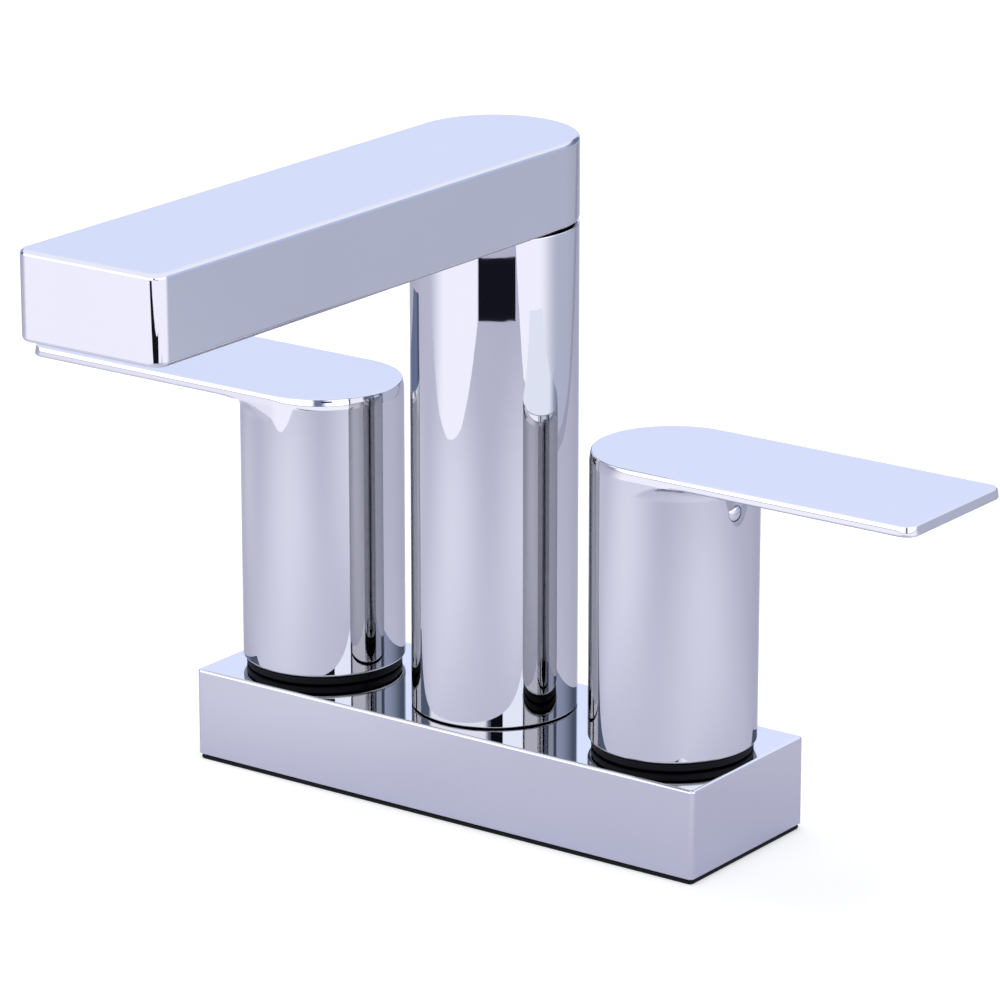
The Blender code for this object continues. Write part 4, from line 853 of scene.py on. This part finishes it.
WHITE = (1.52, 1.52, 1.75)
GREY = (0.73, 0.775, 1.0)
DARK = (0.58, 0.60, 0.83)
BLACK = (0.012, 0.012, 0.022)
FAR = 3.0
GREY_CORNER = (0.385, -0.003)
GREY_OUTLINE = [GREY_CORNER, (FAR, -0.40), (FAR, FAR), (-0.60, FAR), (-0.60, 1.30)]
EDGE_OUTLINE = [GREY_CORNER, (-0.15, 0.702), (-0.03, 0.74), (0.06, 0.56), (0.15, 0.345), (0.392, 0.002)]
LEFT_OUTLINE = [(0.108, -0.442), (-0.049, -0.334), (-0.156, -0.282), (-0.239, -0.252), (-0.42, -0.24),
                (-FAR, -0.40), (-FAR, -FAR), (0.776, -FAR)]
LEFT_FADE = ((0.835, -0.55, 0.0), -0.50, 0.0)
RIGHT_NEAR = [(0.377, -0.101), (0.489, -0.228)]
RIGHT_FAR = [(0.776, -FAR), (FAR, -FAR), (FAR, 1.20), (0.30, 0.36)]
RIGHT_FADE = ((0.0, -1.0, 0.0), -0.67, -0.10)
card("right_grey_card", GREY_OUTLINE, GREY)
card("grey_edge_strip", EDGE_OUTLINE, DARK)
card("left_white_card", LEFT_OUTLINE, WHITE, LEFT_FADE)
card("right_white_card", np.concatenate([RIGHT_NEAR, ring_arc(0.57, 63.9, 14.5, 16), RIGHT_FAR]), WHITE,
     RIGHT_FADE)
card("black_card", np.concatenate([ring_arc(0.455, 15.0, 64.0, 24), ring_arc(0.534, 64.0, 15.0, 24)]), BLACK)
card("standing_black_card", ring_arc(0.40, 31.0, 47.0, 1), BLACK, standing=(0.125, 0.180))

DIAGONAL = 0.707
STRIP_NEAR, STRIP_FAR = 0.545, 0.636
STRIP_ENDS = (-0.60, -0.01)
strip = [(STRIP_NEAR, STRIP_ENDS[0]), (STRIP_NEAR, STRIP_ENDS[1]),
         (STRIP_FAR, STRIP_ENDS[1]), (STRIP_FAR, STRIP_ENDS[0])]
card("far_black_strip", [(DIAGONAL * (out + along), DIAGONAL * (along - out)) for out, along in strip], BLACK)

# %% [markdown]
# ## Room and lamp
#
# The room is white, and the camera sees it so. The chrome sees its walls low down and its ceiling above. The
# ceiling is bright all over and draws the pale lines on the rounded edges. The walls differ by direction:
# bright at both sides of the camera, a cool white behind the faucet, which the level tops of the arm and the
# levers look at, and blue grey between. Each panel of the wall is an azimuth in degrees from the user's side
# towards the cold handle, the angle to either side within which it is full, the angle at which it has gone,
# and its colour. The ceiling takes over between two heights of the view's direction. One large soft lamp
# overhead gives the shadow.

# %% Room and lamp
ROOM_LIGHT = 0.62
ROOM_LOW = (0.26, 0.33, 0.52, 1.0)
ROOM_HIGH = (1.42, 1.47, 1.72, 1.0)
PANELS = (
    (110.0, 10.0, 70.0, (0.85, 0.96, 1.40, 1.0)),
    (247.0, 14.0, 22.0, (0.55, 0.68, 1.15, 1.0)),
    (82.0, 32.0, 46.0, (2.73, 2.86, 3.30, 1.0)),
    (340.0, 41.0, 49.0, (2.60, 2.60, 3.00, 1.0)),
    (216.0, 14.0, 24.0, (1.40, 1.53, 2.02, 1.0)),
)
CEILING_START = 0.36
CEILING_FULL = 0.45
LAMP_SIZE = 1.4
LAMP_PLACE = (-0.25, -0.1, 1.5)
LAMP_POWER = 14.6

world = bpy.data.worlds.new("studio")
world.use_nodes = True
world.node_tree.nodes.clear()
root = Signal(world.node_tree)
view = root.node("ShaderNodeTexCoord", "Generated")
flat = root.node("ShaderNodeVectorMath", "Vector", {"operation": "MULTIPLY"}, {0: view, 1: (1.0, 1.0, 0.0)})
flat = root.node("ShaderNodeVectorMath", "Vector", {"operation": "NORMALIZE"}, {0: flat})


def blend(value, start, full, first, second):
    """Mix two colours by where a value lies between two limits."""
    share = root.node("ShaderNodeMapRange", "Result", {"interpolation_type": "SMOOTHSTEP"},
                      {"Value": value, "From Min": start, "From Max": full})
    return root.node("ShaderNodeMix", 2, {"data_type": "RGBA"}, {0: share, 6: first, 7: second})


room = ROOM_LOW
for azimuth, full, end, colour in PANELS:
    angle = math.radians(azimuth)
    way = (math.sin(angle), -math.cos(angle), 0.0)
    facing = root.node("ShaderNodeVectorMath", "Value", {"operation": "DOT_PRODUCT"}, {0: flat, 1: way})
    room = blend(facing, math.cos(math.radians(end)), math.cos(math.radians(full)), room, colour)
height = root.node("ShaderNodeVectorMath", "Value", {"operation": "DOT_PRODUCT"}, {0: view, 1: UP})
room = blend(height, CEILING_START, CEILING_FULL, room, ROOM_HIGH)
mirrored = root.node("ShaderNodeBackground", 0, {}, {"Color": room})
plain_light = root.node("ShaderNodeBackground", 0, {}, {"Strength": ROOM_LIGHT})
white = root.node("ShaderNodeBackground", 0, {}, {"Color": (1.0, 1.0, 1.0, 1.0)})
glossy = root.node("ShaderNodeLightPath", "Is Glossy Ray")
seen = root.node("ShaderNodeLightPath", "Is Camera Ray")
lit = root.node("ShaderNodeMixShader", 0, {}, {0: glossy, 1: plain_light, 2: mirrored})
shown = root.node("ShaderNodeMixShader", 0, {}, {0: seen, 1: lit, 2: white})
output = world.node_tree.nodes.new("ShaderNodeOutputWorld")
world.node_tree.links.new(shown.socket, output.inputs["Surface"])
bpy.context.scene.world = world

lamp_data = bpy.data.lights.new("overhead_lamp", "AREA")
lamp_data.shape = "SQUARE"
lamp_data.size = LAMP_SIZE
lamp_data.energy = LAMP_POWER
lamp = bpy.data.objects.new("overhead_lamp", lamp_data)
lamp.location = LAMP_PLACE
lamp.visible_glossy = False
bpy.context.scene.collection.objects.link(lamp)

# %% [markdown]
# ## Camera
#
# A long lens looks from the right of the faucet and a little above it. Its direction, distance and aim were
# fitted so that the edges of base, handles and column fall on those of the photograph.

# %% Camera
CAMERA_AZIMUTH = math.radians(36.04)
CAMERA_ELEVATION = math.radians(17.28)
CAMERA_DISTANCE = 1.2207
CAMERA_AIM = np.array([0.001, 0.0008, 0.0727])
CAMERA_LENS = 188.17
SENSOR_WIDTH = 36.0
back = np.array([math.sin(CAMERA_AZIMUTH) * math.cos(CAMERA_ELEVATION),
                 -math.cos(CAMERA_AZIMUTH) * math.cos(CAMERA_ELEVATION), math.sin(CAMERA_ELEVATION)])
camera_data = bpy.data.cameras.new("camera")
camera_data.lens = CAMERA_LENS
camera_data.sensor_width = SENSOR_WIDTH
camera = bpy.data.objects.new("camera", camera_data)
bpy.context.scene.collection.objects.link(camera)
camera.location = CAMERA_AIM + CAMERA_DISTANCE * back
camera.rotation_euler = (math.pi / 2.0 - CAMERA_ELEVATION, 0.0, CAMERA_AZIMUTH)
bpy.context.scene.camera = camera
bpy.context.scene.view_settings.view_transform = "Standard"
